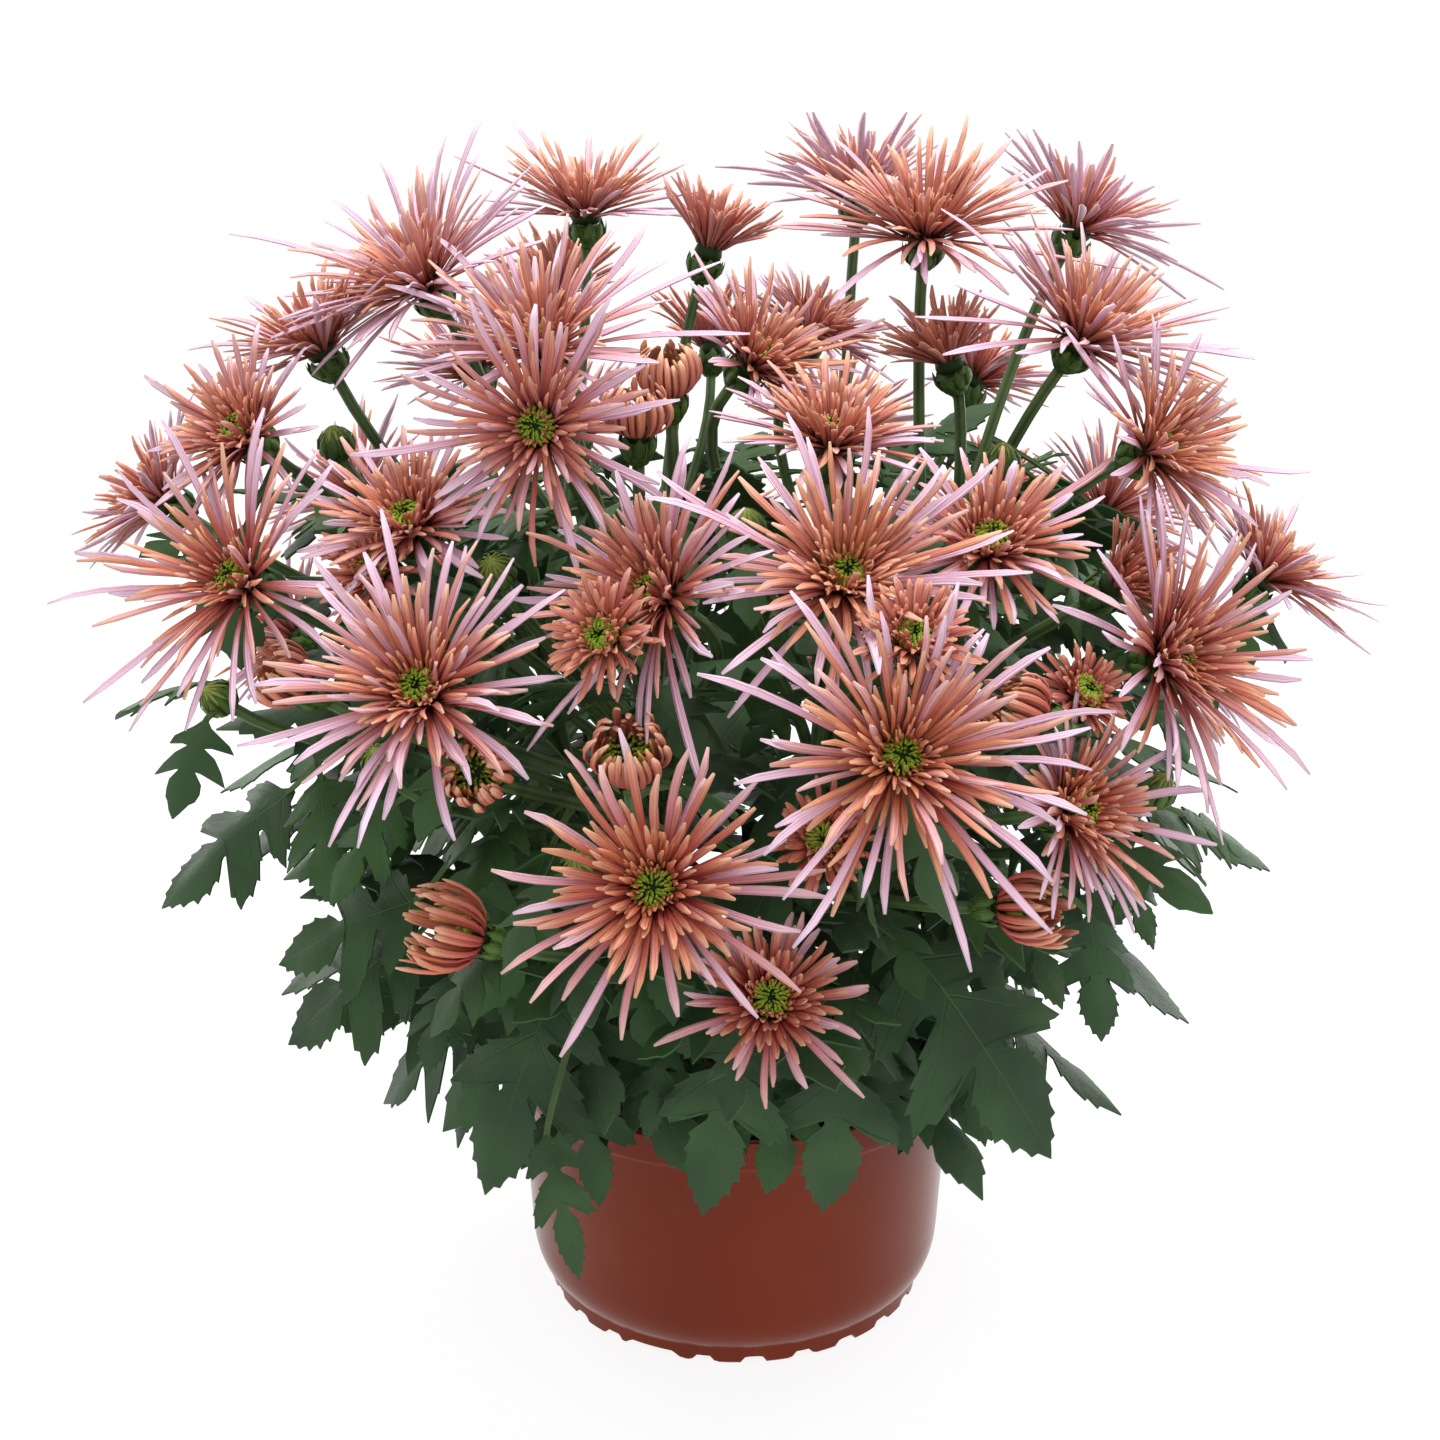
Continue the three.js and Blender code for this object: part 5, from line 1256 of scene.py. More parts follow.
# %% The rays' material
def ray_material():
    material, shader = new_material("ray", 0.6, Specular_IOR_Level=0.3)
    w = Wiring(material)
    across, along = w.along()
    age = w.age()
    place = w.object_place()
    patchy = w.math("MULTIPLY_ADD", w.noise(120, 3, place), 0.22, -0.11)
    share = w.math("ADD", along, patchy)
    outer = w.ramp(share, [(0.0, (156, 66, 54)), (0.14, (196, 102, 88)), (0.3, (210, 142, 144)),
                           (0.46, (214, 168, 190)), (1.0, (230, 202, 220))])
    middle = w.ramp(share, [(0.0, (150, 52, 44)), (0.35, (192, 90, 74)), (0.75, (208, 134, 108)),
                            (1.0, (238, 188, 154))])
    inner = w.ramp(share, [(0.0, (140, 48, 40)), (0.5, (184, 76, 60)), (0.85, (204, 116, 78)),
                           (1.0, (232, 172, 122))])
    young = w.ramp(share, [(0.0, (86, 98, 26)), (0.5, (140, 120, 44)), (1.0, (196, 140, 78))])
    colour = w.mix(w.node_range(age, 0.12, 0.4), outer, middle)
    colour = w.mix(w.node_range(age, 0.5, 0.75), colour, inner)
    colour = w.mix(w.node_range(age, 0.76, 0.9), colour, young)
    gold = w.math("MULTIPLY", w.node_range(w.noise(26, 2, place), 0.5, 0.66), w.node_range(age, 0.12, 0.4))
    colour = w.mix(w.math("MULTIPLY", gold, 0.34), colour, to_linear(226, 156, 92))
    red = w.math("MULTIPLY", w.tone(), w.node_range(age, 0.04, 0.34))
    colour = w.mix(w.math("MULTIPLY", red, 0.5), colour, to_linear(168, 62, 68))
    # Painted light from above: all but the outermost rays between 0.2 and 0.36 m up are mixed towards a
    # pale peach, up to about a quarter.
    height = w.node("ShaderNodeSeparateXYZ")
    w.join(place, height.inputs[0])
    painted_top_light = w.math("MULTIPLY", w.node_range(height.outputs[2], 0.2, 0.36), w.node_range(age, 0.12, 0.4))
    painted_top_light = w.math("MULTIPLY", painted_top_light, 0.24)
    colour = w.mix(painted_top_light, colour, to_linear(250, 200, 176))
    groove = w.math("SINE", w.math("MULTIPLY", across, 18.0))
    colour = w.mix(w.math("MULTIPLY", w.math("ADD", groove, 1.0), 0.07), colour,
                   to_linear(150, 66, 72), "MIX")
    w.join(colour, shader.inputs["Base Color"])
    w.bump(groove, 0.35, 0.00025, shader)
    return material


# %% The green materials
def eye_material():
    material, shader = new_material("eye_green", 0.6, Specular_IOR_Level=0.25)
    w = Wiring(material)
    _, along = w.along()
    # The last stop, near-black green, colours the core and the dome at age 1: painted shade for the hollow
    # in the eye's middle.
    deep = w.ramp(w.age(), [(0.15, (46, 82, 12)), (0.5, (106, 140, 28)), (0.72, (142, 158, 46)),
                            (0.9, (150, 140, 44)), (0.95, (26, 50, 8))])
    colour = w.mix(w.math("MULTIPLY", along, 0.5), deep, to_linear(164, 188, 60))
    w.join(colour, shader.inputs["Base Color"])
    return material


def green_material(name, dark, light, roughness, scale):
    """Stems, calyces and buds: a green mottled by noise, paler along its ribs."""
    material, shader = new_material(name, roughness, Specular_IOR_Level=0.3)
    w = Wiring(material)
    across, along = w.along()
    place = w.object_place()
    rib = w.math("SINE", w.math("MULTIPLY", across, 31.4))
    share = w.math("ADD", w.noise(scale, 4, place), w.math("MULTIPLY", rib, 0.14))
    w.join(w.ramp(share, [(0.25, dark), (0.75, light)]), shader.inputs["Base Color"])
    w.bump(w.math("ADD", rib, w.noise(900, 2, place)), 0.3, 0.0003, shader)
    return material


# %% [markdown]
# ## The leaves' material
# The blade is dark green with a slightly greyish bloom, and fresher where it is young. The UV
# map of a leaf is its own outline, so the midrib and the veins that run to each lobe can be
# drawn as thin pale lines in it, and a fine net of small veins lies between them.

# %% Leaf material
# where a vein leaves the midrib, where it ends (along and across), and how strong it is
VEINS = [(0.07, 0.275, 0.44, 0.45), (0.24, 0.605, 0.47, 0.6), (0.5, 0.715, 0.225, 0.1),
         (0.6, 0.8, 0.2, 0.1), (0.03, 0.13, 0.3, 0.12)]


def leaf_material():
    material, shader = new_material("leaf", 0.52, Specular_IOR_Level=0.2)
    w = Wiring(material)
    across, along = w.along()
    place = w.object_place()
    across = w.math("ABSOLUTE", w.math("SUBTRACT", across, 0.5))
    off = w.math("DIVIDE", across, w.math("MULTIPLY_ADD", along, -0.007, 0.0105))
    line = w.node_range(off, 1.0, 0.25)
    for foot, end_along, end_across, strength in VEINS:
        slope = (end_along - foot) / end_across
        rise = w.math("MULTIPLY_ADD", across, -slope, along)
        off = w.math("ABSOLUTE", w.math("SUBTRACT", rise, foot))
        thin = w.math("DIVIDE", off, w.math("MULTIPLY_ADD", across, -0.014, 0.0085))
        vein = w.math("MULTIPLY", w.node_range(thin, 1.0, 0.25), strength)
        line = w.math("MAXIMUM", line, vein)
    flat = w.node("ShaderNodeCombineXYZ")
    w.join(across, flat.inputs[0])
    w.join(along, flat.inputs[1])
    net = w.node("ShaderNodeTexVoronoi", feature="DISTANCE_TO_EDGE", voronoi_dimensions="2D")
    net.inputs["Scale"].default_value = 48
    w.join(flat.outputs[0], net.inputs["Vector"])
    fine = w.node_range(net.outputs["Distance"], 0.06, 0.0)
    patch = w.noise(34, 3, place)
    colour = w.ramp(patch, [(0.3, (42, 62, 41)), (0.55, (53, 78, 49)), (0.75, (63, 90, 53))])
    colour = w.mix(w.math("MULTIPLY", w.age(), 0.6), colour, to_linear(52, 92, 26))
    colour = w.mix(w.math("MULTIPLY", fine, 0.06), colour, to_linear(60, 100, 56))
    colour = w.mix(w.math("MULTIPLY", line, 0.42), colour, to_linear(84, 120, 62))
    w.join(colour, shader.inputs["Base Color"])
    height = w.math("ADD", w.math("MULTIPLY", line, -1.3), w.math("MULTIPLY", fine, -0.12))
    w.bump(w.math("ADD", height, w.math("MULTIPLY", w.noise(260, 2, place), 0.6)),
           0.6, 0.0007, shader)
    return material


ray_paint = ray_material()
eye_paint = eye_material()
stem_paint = green_material("stem_green", (44, 66, 34), (88, 114, 62), 0.6, 60)
calyx_paint = green_material("calyx_green", (34, 62, 24), (84, 116, 42), 0.6, 160)
bud_paint = green_material("bud_green", (84, 106, 36), (150, 164, 74), 0.6, 120)
leaf_paint = leaf_material()

# %% [markdown]
# ## Put the heads together
# Each head is one piece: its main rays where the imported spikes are, the layers that fill the
# gaps, and the eye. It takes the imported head's place.

# %% Build the heads
HOOKS = {"bloom": {"inner": 0.28, "fourth": 0.08}, "dark_bloom": {"inner": 0.2},
         "curled_bloom": {"outer": -0.1, "second": 0.12, "third": 0.25, "inner": 0.35}}
# heads with less lilac in their rays than the others, and below zero with more
WARM_HEADS = {"bloom_34": 0.2, "bloom_35": 0.24, "bloom_18": 0.14, "bloom_02": 0.16, "bloom_13": 0.14,
              "bloom_23": 0.12, "bloom_16": 0.14, "bloom_09": 0.1, "bloom_12": 0.0, "bloom_30": 0.04,
              "bloom_01": -0.16, "bloom_11": -0.1, "bloom_17": -0.04, "bloom_19": -0.18,
              "bloom_20": -0.1, "bloom_08": -0.04}
# redder heads, and how red
RED_HEADS = {"bloom_12": 0.7, "bloom_30": 0.45, "bloom_14": 0.7, "curled_bloom_31": 0.8,
             "curled_bloom_36": 0.9, "bloom_06": 0.4, "bloom_03": 0.4, "bloom_35": 0.4}
TONES = {"bloom": (0.0, 0.3), "dark_bloom": (0.5, 0.9), "curled_bloom": (0.2, 0.8),
         "young_bloom": (0.0, 0.3)}
total = 0
for number, head in enumerate(heads):
    chance = np.random.default_rng(SEEDS["rays"] + number)
    kit = MeshKit()
    head["warmth"] = WARM_HEADS.get(head["name"], chance.uniform(0, 0.08))
    if head["fused"]:
        add_cup(kit, head, chance)
    else:
        add_spike_rays(kit, head, chance)
        for layer in LAYERS[head["kind"]]:
            root, tip, out, name, age, half_width = rays_layer(head, chance, layer)
            hook = HOOKS[head["kind"]].get(name, 0.0)
            add_rays(kit, head, chance, root, tip, out, name, age, half_width, hook)
    add_eye(kit, head, chance)
    piece = kit.build(head["name"] + "_rays", [ray_paint, eye_paint])
    tone = piece.data.attributes.new("tone", "FLOAT", "POINT")
    share = RED_HEADS.get(head["name"], chance.uniform(*TONES[head["kind"]]))
    tone.data.foreach_set("value", np.full(len(piece.data.vertices), share))
    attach(piece, "root")
    if not head["fused"]:
        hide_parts(head["name"])
    total += triangles_in(piece)
print("triangles in the heads:", total)

# %% [markdown]
# ## Stems, calyces and buds
# Chrysanthemum stems are ribbed and a little woody. Under each head the branch widens into a
# green calyx, a bowl covered by rows of pointed scales. A closed bud is the same calyx, shut
# over a ball of young rays.

# %% Green parts of one stem
RIB_COUNT = 7
RIB_DEPTH = 0.09
RIBS = [(math.cos(k * math.pi / RIB_COUNT) * (1 - RIB_DEPTH * (k % 2)),
         math.sin(k * math.pi / RIB_COUNT) * (1 - RIB_DEPTH * (k % 2))) for k in range(2 * RIB_COUNT)]
SCALE_SECTION = [(-1, 0.0), (0, 0.16), (1, 0.0), (0, -0.16)]
BOWL = [(0.0, 0.0), (0.3, 0.42), (0.62, 0.8), (0.9, 1.0), (1.0, 0.94)]


def across_of(way):
    """A direction square to the given one."""
    return unit(np.cross(way, [0.31, 0.9, 0.2]))


def add_tube(kit, path, radii, slot):
    path = np.asarray(path, float)[None]
    points = sweep(path, across_of(path[0, -1] - path[0, 0])[None], np.asarray(radii, float)[None], RIBS)
    rings, sides = points.shape[1:3]
    turn = np.broadcast_to(np.linspace(0, 1, sides, endpoint=False), (1, rings, sides))
    length = np.linalg.norm(np.diff(path[0], axis=0), axis=1).sum()
    along = np.broadcast_to(np.linspace(0, length / 30, rings)[None, :, None], (1, rings, sides))
    kit.add(points, tube_faces(1, rings, sides), np.stack([turn, along], -1), 0.3, slot)


def smooth_path(points, steps):
    """A smooth path that runs through all the points, with some steps between each two."""
    points = [points[0] * 2 - points[1], *points, points[-1] * 2 - points[-2]]
    path = []
    for a, b, c, d in zip(points, points[1:], points[2:], points[3:]):
        for t in np.arange(steps) / steps:
            path.append(0.5 * (2 * b + (c - a) * t + (2 * a - 5 * b + 4 * c - d) * t**2
                               + (3 * b - a - 3 * c + d) * t**3))
    return np.array(path + [points[-2]])


def ring_round(centre, axis, radius, sides):
    first = across_of(axis)
    second = np.cross(axis, first)
    turn = np.linspace(0, 2 * math.pi, sides, endpoint=False)[:, None]
    return centre + (first * np.cos(turn) + second * np.sin(turn)) * radius


def add_scales(kit, chance, foot, top, axis, profile, rows, count, slot):
    """Rows of pointed scales that hug a turned form given by (share of height, radius)."""
    first = across_of(axis)
    second = np.cross(axis, first)
    shares, radii = zip(*profile)
    height = (top - foot).dot(axis)
    for row, (low, high, half_width) in enumerate(rows):
        turn = shaken_turns(chance, count, 0.15) + math.pi * (row % 2) / count
        out = first * np.cos(turn)[:, None] + second * np.sin(turn)[:, None]
        steps = np.linspace(low, high, 4)
        radius = np.interp(steps, shares, radii) + 0.35 + 0.2 * row
        paths = foot + axis * (height * steps)[None, :, None] + out[:, None] * radius[None, :, None]
        widths = np.array([0.75, 1.0, 0.8, 0.12])[None] * half_width
        widths = widths * chance.uniform(0.85, 1.15, (count, 1))
        points = sweep(paths, np.cross(axis, out), widths, SCALE_SECTION)
        kit.add(points, tube_faces(count, 4, 4), along_places(count, 4, 4, SCALE_SECTION),
                np.repeat(chance.uniform(0, 1, count), 16), slot)


def add_turned(kit, foot, axis, profile, sides, slot):
    """A closed turned form from (height, radius) pairs along an axis."""
    rings = np.array([ring_round(foot + axis * up, axis, radius, sides) for up, radius in profile])
    turn = np.broadcast_to(np.linspace(0, 1, sides, endpoint=False), rings.shape[:2])
    up = np.broadcast_to(np.linspace(0, 1, len(profile))[:, None], rings.shape[:2])
    kit.add(rings, tube_faces(1, len(profile), sides), np.stack([turn, up], -1), 0.5, slot)


def add_calyx(kit, chance, neck, top, axis, rim):
    height = (top - neck).dot(axis)
    profile = [(share, BRANCH_RADIUS + (rim - 0.5 - BRANCH_RADIUS) * wide) for share, wide in BOWL]
    add_turned(kit, neck, axis, [(share * height, radius) for share, radius in profile], 14, 1)
    rows = [(0.02, 0.75, 1.45), (0.2, 1.0, 1.75), (0.42, 1.3, 1.6)]
    add_scales(kit, chance, neck, top, axis, profile, rows, 9, 1)


BUD_PROFILE = [(0.0, 1.9), (0.12, 3.4), (0.35, 4.4), (0.6, 4.3), (0.8, 3.2), (0.93, 1.9), (1.0, 0.7)]


BUD_HEIGHT = 9.4


def add_bud(kit, chance, eye, axis):
    foot = eye - axis * BUD_HEIGHT
    profile = [(share * BUD_HEIGHT, radius * 0.93) for share, radius in BUD_PROFILE]
    add_turned(kit, foot, axis, profile, 16, 2)
    rows = [(0.0, 0.5, 1.2), (0.08, 0.72, 1.3), (0.2, 0.9, 1.2)]
    add_scales(kit, chance, foot, eye, axis, BUD_PROFILE, rows, 10, 1)
    streaks = [(0.5, 1.0, 0.62)]
    add_scales(kit, chance, foot, eye, axis, BUD_PROFILE, streaks, 14, 2)


total = 0
for number, stem in enumerate(stems):
    chance = np.random.default_rng(SEEDS["wood"] + number)
    kit = MeshKit()
    path = smooth_path(stem["points"], 7)
    add_tube(kit, path, np.interp(np.linspace(0, 4, len(path)), range(5), stem["radii"]), 0)
    for controls in stem["branches"]:
        path = curve_points(controls, np.linspace(0, 1, 14))
        add_tube(kit, path, np.linspace(BRANCH_RADIUS, BRANCH_RADIUS * 0.86, 14), 0)
    for calyx in stem["calyces"]:
        add_calyx(kit, chance, *calyx)
    for eye, axis in stem["buds"]:
        add_bud(kit, chance, eye, axis)
    piece = kit.build(f"stem_{number + 1}_wood", [stem_paint, calyx_paint, bud_paint])
    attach(piece, "root")
    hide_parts(stem["name"])
    total += triangles_in(piece)
print("triangles in the stems:", total)

# %% [markdown]
# ## Cut leaves
# The coarse blade told where each leaf lies. The fine one has the real outline: five main
# lobes, each toothed again, with narrow bays between them. It is a closed thin sheet on a
# channelled stalk, gently waved, with the margin curled a little downwards.

# %% Fine leaves
LEAF_OUTLINE = [
    (0, 0.02), (0.02, 0.04), (0.05, 0.07), (0.075, 0.12), (0.09, 0.18), (0.105, 0.25),
    (0.125, 0.3), (0.14, 0.285), (0.165, 0.335), (0.195, 0.385), (0.205, 0.365), (0.235, 0.4),
    (0.275, 0.445), (0.283, 0.4), (0.278, 0.36), (0.298, 0.345), (0.288, 0.31), (0.272, 0.25),
    (0.262, 0.19), (0.258, 0.14), (0.268, 0.105), (0.285, 0.1), (0.3, 0.125), (0.315, 0.17),
    (0.335, 0.22), (0.36, 0.29), (0.372, 0.275), (0.4, 0.325), (0.435, 0.39), (0.445, 0.37),
    (0.48, 0.41), (0.515, 0.455), (0.522, 0.43), (0.555, 0.445), (0.605, 0.475), (0.6, 0.43),
    (0.588, 0.39), (0.612, 0.365), (0.592, 0.335), (0.57, 0.28), (0.545, 0.22), (0.52, 0.16),
    (0.508, 0.12), (0.51, 0.09), (0.525, 0.085), (0.545, 0.1), (0.565, 0.13), (0.59, 0.165),
    (0.63, 0.21), (0.636, 0.185), (0.67, 0.195), (0.715, 0.225), (0.72, 0.195), (0.755, 0.19),
    (0.8, 0.205), (0.804, 0.165), (0.84, 0.15), (0.878, 0.15), (0.88, 0.11), (0.912, 0.09),
    (0.942, 0.08), (0.945, 0.045), (0.97, 0.025), (1, 0)]
# a plainer outline for the leaves inside the plant, and the plainest for the smallest ones
PLAIN_OUTLINE = [
    (0, 0.02), (0.06, 0.08), (0.1, 0.24), (0.195, 0.385), (0.205, 0.365), (0.275, 0.445),
    (0.278, 0.36), (0.262, 0.19), (0.268, 0.105), (0.3, 0.125), (0.36, 0.29), (0.435, 0.39),
    (0.445, 0.37), (0.605, 0.475), (0.588, 0.38), (0.52, 0.16), (0.51, 0.09), (0.545, 0.1),
    (0.63, 0.21), (0.636, 0.185), (0.715, 0.225), (0.8, 0.205), (0.804, 0.165), (0.878, 0.15),
    (0.88, 0.11), (1, 0)]
SMALL_OUTLINE = [
    (0, 0.02), (0.08, 0.12), (0.2, 0.37), (0.275, 0.445), (0.27, 0.2), (0.285, 0.11),
    (0.36, 0.28), (0.48, 0.41), (0.605, 0.475), (0.53, 0.17), (0.525, 0.1), (0.63, 0.21),
    (0.72, 0.225), (0.8, 0.205), (0.84, 0.15), (0.93, 0.08), (1, 0)]
STALK_PROFILE = [(-1, 0.5), (0, 0.1), (1, 0.5), (0.7, -0.5), (-0.7, -0.5)]
BLADE_HALF = 0.3
# outline and the shares of the way from midrib to edge where a leaf of each grade has points,
# and the rings of points along its stalk
GRADES = {"seen": (np.array(LEAF_OUTLINE), [0, 0.33, 0.7, 1], 8),
          "ring": (np.array(LEAF_OUTLINE), [0, 0.4, 1], 8),
          "filling": (np.array(PLAIN_OUTLINE), [0, 0.45, 1], 5),
          "small": (np.array(SMALL_OUTLINE), [0, 0.45, 1], 5)}


def leaf_sheet(outline, levels):
    """Shares and halves across for one half of a leaf, rows from the midrib to the edge."""
    share, across = outline.T
    anchor = np.clip(share - 0.3 * across, 0, None)
    anchor = np.minimum.accumulate(anchor[::-1])[::-1]
    anchor += np.linspace(0, 0.02, len(anchor))
    anchor /= anchor[-1]
    steps = np.array(levels)[:, None]
    return anchor + (share - anchor) * steps, across * steps


def add_leaf(kit, leaf, chance):
    outline, levels, stalk_rings = GRADES[leaf["grade"]]
    share, across = leaf_sheet(outline, levels)
    share = np.concatenate([share, share[1:]])
    across = np.concatenate([across, -across[1:]])
    rows, columns = share.shape
    middle = blade_point(leaf, share, across)
    length, _, side, normal, _ = leaf_frame(leaf)
    phase = chance.uniform(0, 6.28, 4)
    wave = np.sin(share * 15 + phase[0] + np.sign(across) * phase[1]) * np.abs(across) * 2
    wave += np.sin(across * 14 + share * 6 + phase[2]) * 0.35
    cup = -((np.abs(across) * 2) ** 4) * 0.55 + np.abs(across) * chance.uniform(-0.3, 0.9)
    middle = middle + normal * ((wave * 0.024 + cup * 0.045) * length)[..., None]
    top = middle + normal * BLADE_HALF
    low = middle - normal * BLADE_HALF
    places = np.stack([across + 0.5, share], -1)
    grid = np.arange(rows * columns).reshape(rows, columns)
    right = [0, *range(1, len(levels))]
    left = [0, *range(len(levels), rows)]
    faces, rims = [], []
    count = rows * columns
    for order, turned in ((right, False), (left, True)):
        sheet = grid[order]
        quads = np.stack([sheet[:-1, :-1], sheet[1:, :-1], sheet[1:, 1:], sheet[:-1, 1:]], -1)
        quads = quads.reshape(-1, 4)
        edge = sheet[-1]
        rim = np.stack([edge[:-1], edge[:-1] + count, edge[1:] + count, edge[1:]], -1)
        if turned:
            quads, rim = quads[:, ::-1], rim[:, ::-1]
        faces.append(quads)
        faces.append(quads[:, ::-1] + count)
        rims.append(rim)
    age = leaf["age"]
    kit.add(np.concatenate([top.reshape(-1, 3), low.reshape(-1, 3)]), faces + rims,
            np.concatenate([places.reshape(-1, 2)] * 2), age, 0)
    root, base = leaf["root"], leaf["base"]
    stalk_end = blade_point(leaf, 0.05, 0.0)
    paths = curves(([root], [root + (base - root) * 0.4 + UP * 1.2],
                    [base - (stalk_end - base) * 0.8], [stalk_end]), stalk_rings)
    widths = np.interp(np.linspace(0, 1, stalk_rings), [0, 0.15, 1], [1.35, 1.0, 0.8])[None]
    points = sweep(paths, side[None], widths, STALK_PROFILE)
    sides = len(STALK_PROFILE)
    kit.add(points, tube_faces(1, stalk_rings, sides), along_places(1, stalk_rings, sides, STALK_PROFILE),
            0.6, 1)


total = 0
for number, stem in enumerate(stems):
    chance = np.random.default_rng(SEEDS["blades"] + number)
    kit = MeshKit()
    for leaf in stem["leaves"]:
        youth = (leaf["base"][2] - 120) / 260 + chance.uniform(-0.3, 0.4)
        leaf["age"] = float(np.clip(youth, 0, 1))
        add_leaf(kit, leaf, chance)
    piece = kit.build(f"stem_{number + 1}_leaves", [leaf_paint, stem_paint], sharp_degrees=62)
    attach(piece, "root")
    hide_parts(stem["name"])
    total += triangles_in(piece)
print("triangles in the leaves:", total)

# %% [markdown]
# ## The pot
# The pot is moulded from thin terracotta-brown plastic: a wall that widens to the rim band, a
# fine shoulder line below the band, a glossy skin, and a foot skirt with small notches that
# let water drain away. Inside it is black. The wall is a turned profile. The notches are made
# by lifting the lower edge of the skirt where they lie.

# %% Pot and peat
POT_SIDES = 288
# the notches' first bearing, step, half width and slopes in degrees, and their height in mm
NOTCH_FIRST = 5
NOTCH_PITCH = 14.4
NOTCH_HALF = 2.4
NOTCH_SLOPE = 1.1
WIDE_SLOPE = 1.5
WIDE_NOTCHES = [(-33, -17), (70, 88)]
NOTCH_TOP = 2.2
# outside and inside of the wall from the axis outwards and back: radius and height
POT_OUTSIDE = [
    (0, 0), (25, 0), (27.5, 4), (57.5, 4), (59.8, 0.02), (61.6, 0.0), (62.0, 0.5), (62.1, 4.9),
    (62.5, 5.4), (63.9, 7.0), (65.4, 9.3), (66.5, 12.2), (67.2, 15.5), (67.6, 20), (70.3, 68.8),
    (70.55, 69.9), (71.1, 70.3), (71.4, 70.8), (71.5, 71.6), (71.5, 78.4), (71.4, 79.3),
    (70.9, 79.85), (70.4, 80.0)]
POT_INSIDE = [
    (69.9, 79.8), (69.6, 79.2), (69.3, 76), (68.9, 70.0), (68.5, 68), (66.0, 20), (65.3, 14),
    (61.0, 7.0), (58.4, 6.4), (27, 5.5), (24.2, 1.6), (0, 1.6)]
SKIRT_RADII = (58, 62.05)
SKIRT_EDGE = 2


def pot_material():
    material, shader = new_material("pot_plastic_shell", 0.2, Specular_IOR_Level=0.2)
    w = Wiring(material)
    place = w.object_place()
    cloud = w.noise(18, 4, place)
    colour = w.ramp(cloud, [(0.3, (100, 29, 1)), (0.7, (113, 36, 2))])
    dust = w.node_range(w.noise(60, 5, place), 0.62, 0.8)
    colour = w.mix(w.math("MULTIPLY", dust, 0.04), colour, to_linear(186, 130, 104))
    w.join(colour, shader.inputs["Base Color"])
    w.bump(w.noise(700, 2, place), 0.12, 0.0003, shader)
    return material


def inside_material():
    material, shader = new_material("pot_plastic_black", 0.4)
    w = Wiring(material)
    place = w.object_place()
    w.join(w.ramp(w.noise(90, 4, place), [(0.3, (12, 12, 14)), (0.8, (26, 26, 30))]),
           shader.inputs["Base Color"])
    w.bump(w.noise(500, 2, place), 0.2, 0.0003, shader)
    return material


def notch_lift(bearing):
    """How far the skirt's lower edge is lifted at a bearing in degrees."""
    for gap_from, gap_to in WIDE_NOTCHES:
        inside = min(bearing - gap_from, gap_to - bearing) + WIDE_SLOPE
        if inside >= 0:
            return NOTCH_TOP * min(1, inside / WIDE_SLOPE / 2)
    off = (bearing - NOTCH_FIRST + NOTCH_PITCH / 2) % NOTCH_PITCH - NOTCH_PITCH / 2
    return NOTCH_TOP * min(1, max(0, (NOTCH_HALF + NOTCH_SLOPE - abs(off)) / NOTCH_SLOPE))


bearings = np.linspace(-180, 180, POT_SIDES, endpoint=False)
lifts = np.array([notch_lift(bearing) for bearing in bearings])
turn = np.radians(bearings)
outward = np.stack([np.sin(turn), -np.cos(turn), np.zeros(POT_SIDES)], 1)
rings = []
for radius, height in POT_OUTSIDE[1:] + POT_INSIDE[:-1]:
    ring = outward * radius
    is_skirt = SKIRT_RADII[0] < radius < SKIRT_RADII[1] and height < SKIRT_EDGE
    ring[:, 2] = np.maximum(height, lifts) if is_skirt else height
    rings.append(ring)
rings = np.array(rings)
points = np.concatenate([rings.reshape(-1, 3), [[0, 0, 0], [0, 0, POT_INSIDE[-1][1]]]])
ring = np.arange(len(rings) - 1)[:, None] * POT_SIDES
side = np.arange(POT_SIDES)[None]
after = (side + 1) % POT_SIDES
wall = np.stack([ring + side, ring + after, ring + POT_SIDES + after, ring + POT_SIDES + side], -1)
bottom = np.stack([np.full(POT_SIDES, len(points) - 2), after[0], side[0]], 1)
last = (len(rings) - 1) * POT_SIDES
floor_disc = np.stack([last + side[0], last + after[0], np.full(POT_SIDES, len(points) - 1)], 1)
lip = len(POT_OUTSIDE) - 3
kit = MeshKit()
skins = [wall[:lip].reshape(-1, 4), bottom, wall[lip:].reshape(-1, 4), floor_disc]
kit.add(points, skins, np.zeros((len(points), 2)), 0, [0, 0, 1, 1])
pot = kit.build("pot_shell", [pot_material(), inside_material()], sharp_degrees=28)
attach(pot, "root")
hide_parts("pot")


def peat_material():
    material, shader = new_material("peat_crumb", 0.95)
    w = Wiring(material)
    place = w.object_place()
    crumb = w.noise(420, 6, place, 0.7)
    colour = w.ramp(crumb, [(0.25, (14, 11, 9)), (0.6, (34, 26, 20)), (0.9, (74, 56, 40))])
    w.join(colour, shader.inputs["Base Color"])
    w.bump(w.noise(800, 5, place, 0.7), 0.8, 0.001, shader)
    return material


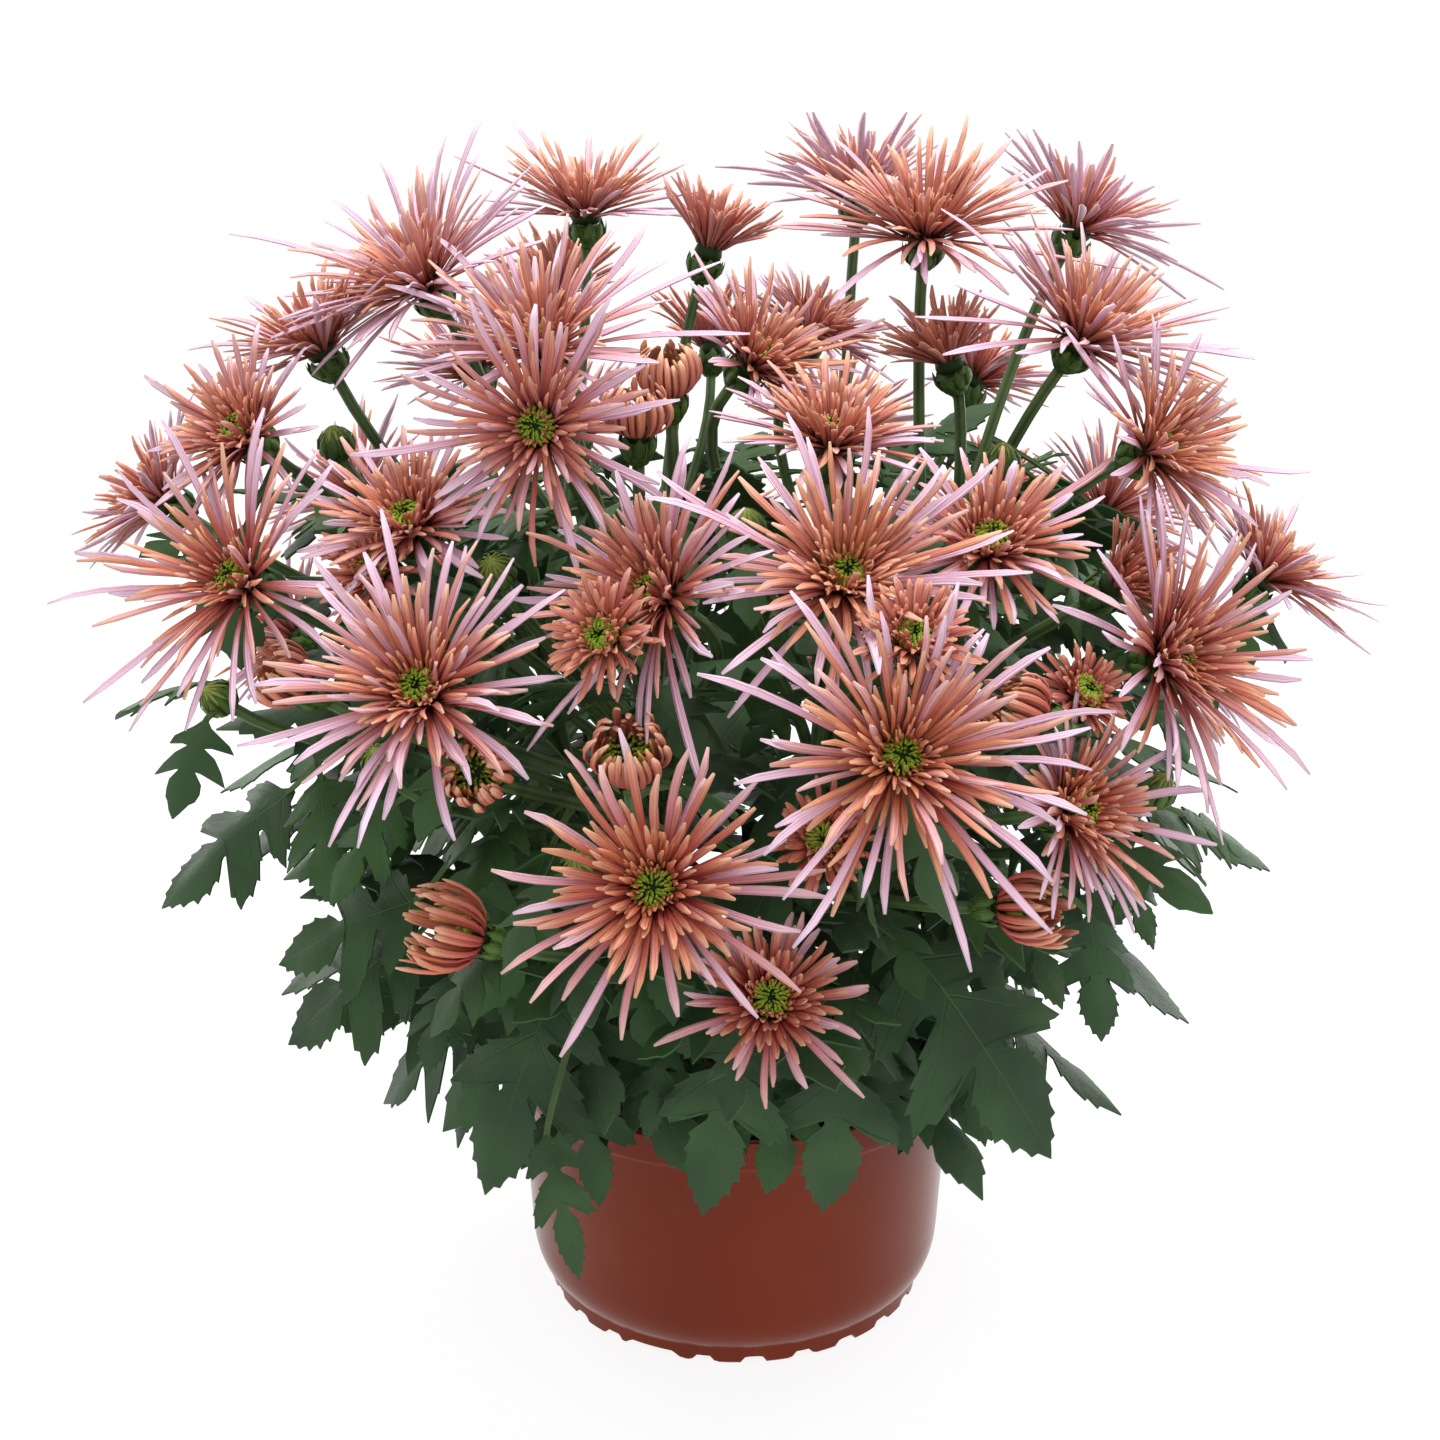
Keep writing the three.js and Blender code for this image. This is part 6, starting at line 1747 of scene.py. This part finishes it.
CRUMBS = 700
CRUMB_ZONE = 62
PEAT_RADIUS = 67.4
PEAT_DOME = 2.2
PEAT_RINGS = 22
PEAT_SIDES = 96
chance = np.random.default_rng(SEEDS["crumbs"])
kit = MeshKit()
turn = np.linspace(0, 2 * math.pi, PEAT_SIDES, endpoint=False)
surface = []
for share in np.linspace(0.04, 1, PEAT_RINGS):
    radius = PEAT_RADIUS * share
    x, y = radius * np.cos(turn), radius * np.sin(turn)
    height = PEAT_TOP + PEAT_DOME * (1 - share**2) - 1.2
    bumps = np.sin(x * 0.31 + 1) * np.cos(y * 0.27) + 0.6 * np.sin(x * 0.83 + y * 0.71) \
        + 0.4 * np.cos(y * 1.3 - x * 0.4)
    z = height + bumps * 0.7 + chance.uniform(-0.35, 0.35, PEAT_SIDES)
    surface.append(np.stack([x, y, z], 1))
deep = [(65.8, 40), (65.0, 20), (60, 8.4), (57, 7.4), (2, 7.4)]
for radius, height in deep:
    surface.append(np.stack([radius * np.cos(turn), radius * np.sin(turn), np.full(PEAT_SIDES, height)], 1))
surface = np.array(surface)[::-1]
kit.add(surface, tube_faces(1, len(surface), PEAT_SIDES), np.zeros((surface.shape[0] * PEAT_SIDES, 2)), 0)
cube = np.array([(x, y, z) for x in (-1, 1) for y in (-1, 1) for z in (-1, 1)], float)
cube_faces = np.array([(0, 1, 3, 2), (4, 6, 7, 5), (0, 4, 5, 1), (2, 3, 7, 6), (0, 2, 6, 4), (1, 5, 7, 3)])
for _ in range(CRUMBS):
    out, bearing = CRUMB_ZONE * math.sqrt(chance.uniform(0, 1)), chance.uniform(0, 360)
    size = chance.uniform(0.35, 1.5)
    corners = cube * chance.uniform(0.5, 1, 3) * size * chance.uniform(0.8, 1.2, (8, 1))
    tilt, turn_by = chance.uniform(0, 6.28, 2)
    tumble = np.array(Euler((tilt, 0, turn_by)).to_matrix())
    level = PEAT_TOP + PEAT_DOME * (1 - (out / PEAT_RADIUS) ** 2) - 0.6
    kit.add(corners @ tumble.T + point_on(bearing, out, level), [cube_faces], np.zeros((8, 2)), 0)
peat = kit.build("peat_top", [peat_material()], sharp_degrees=50)
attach(peat, "root")
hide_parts("soil")
print("pot and peat done")
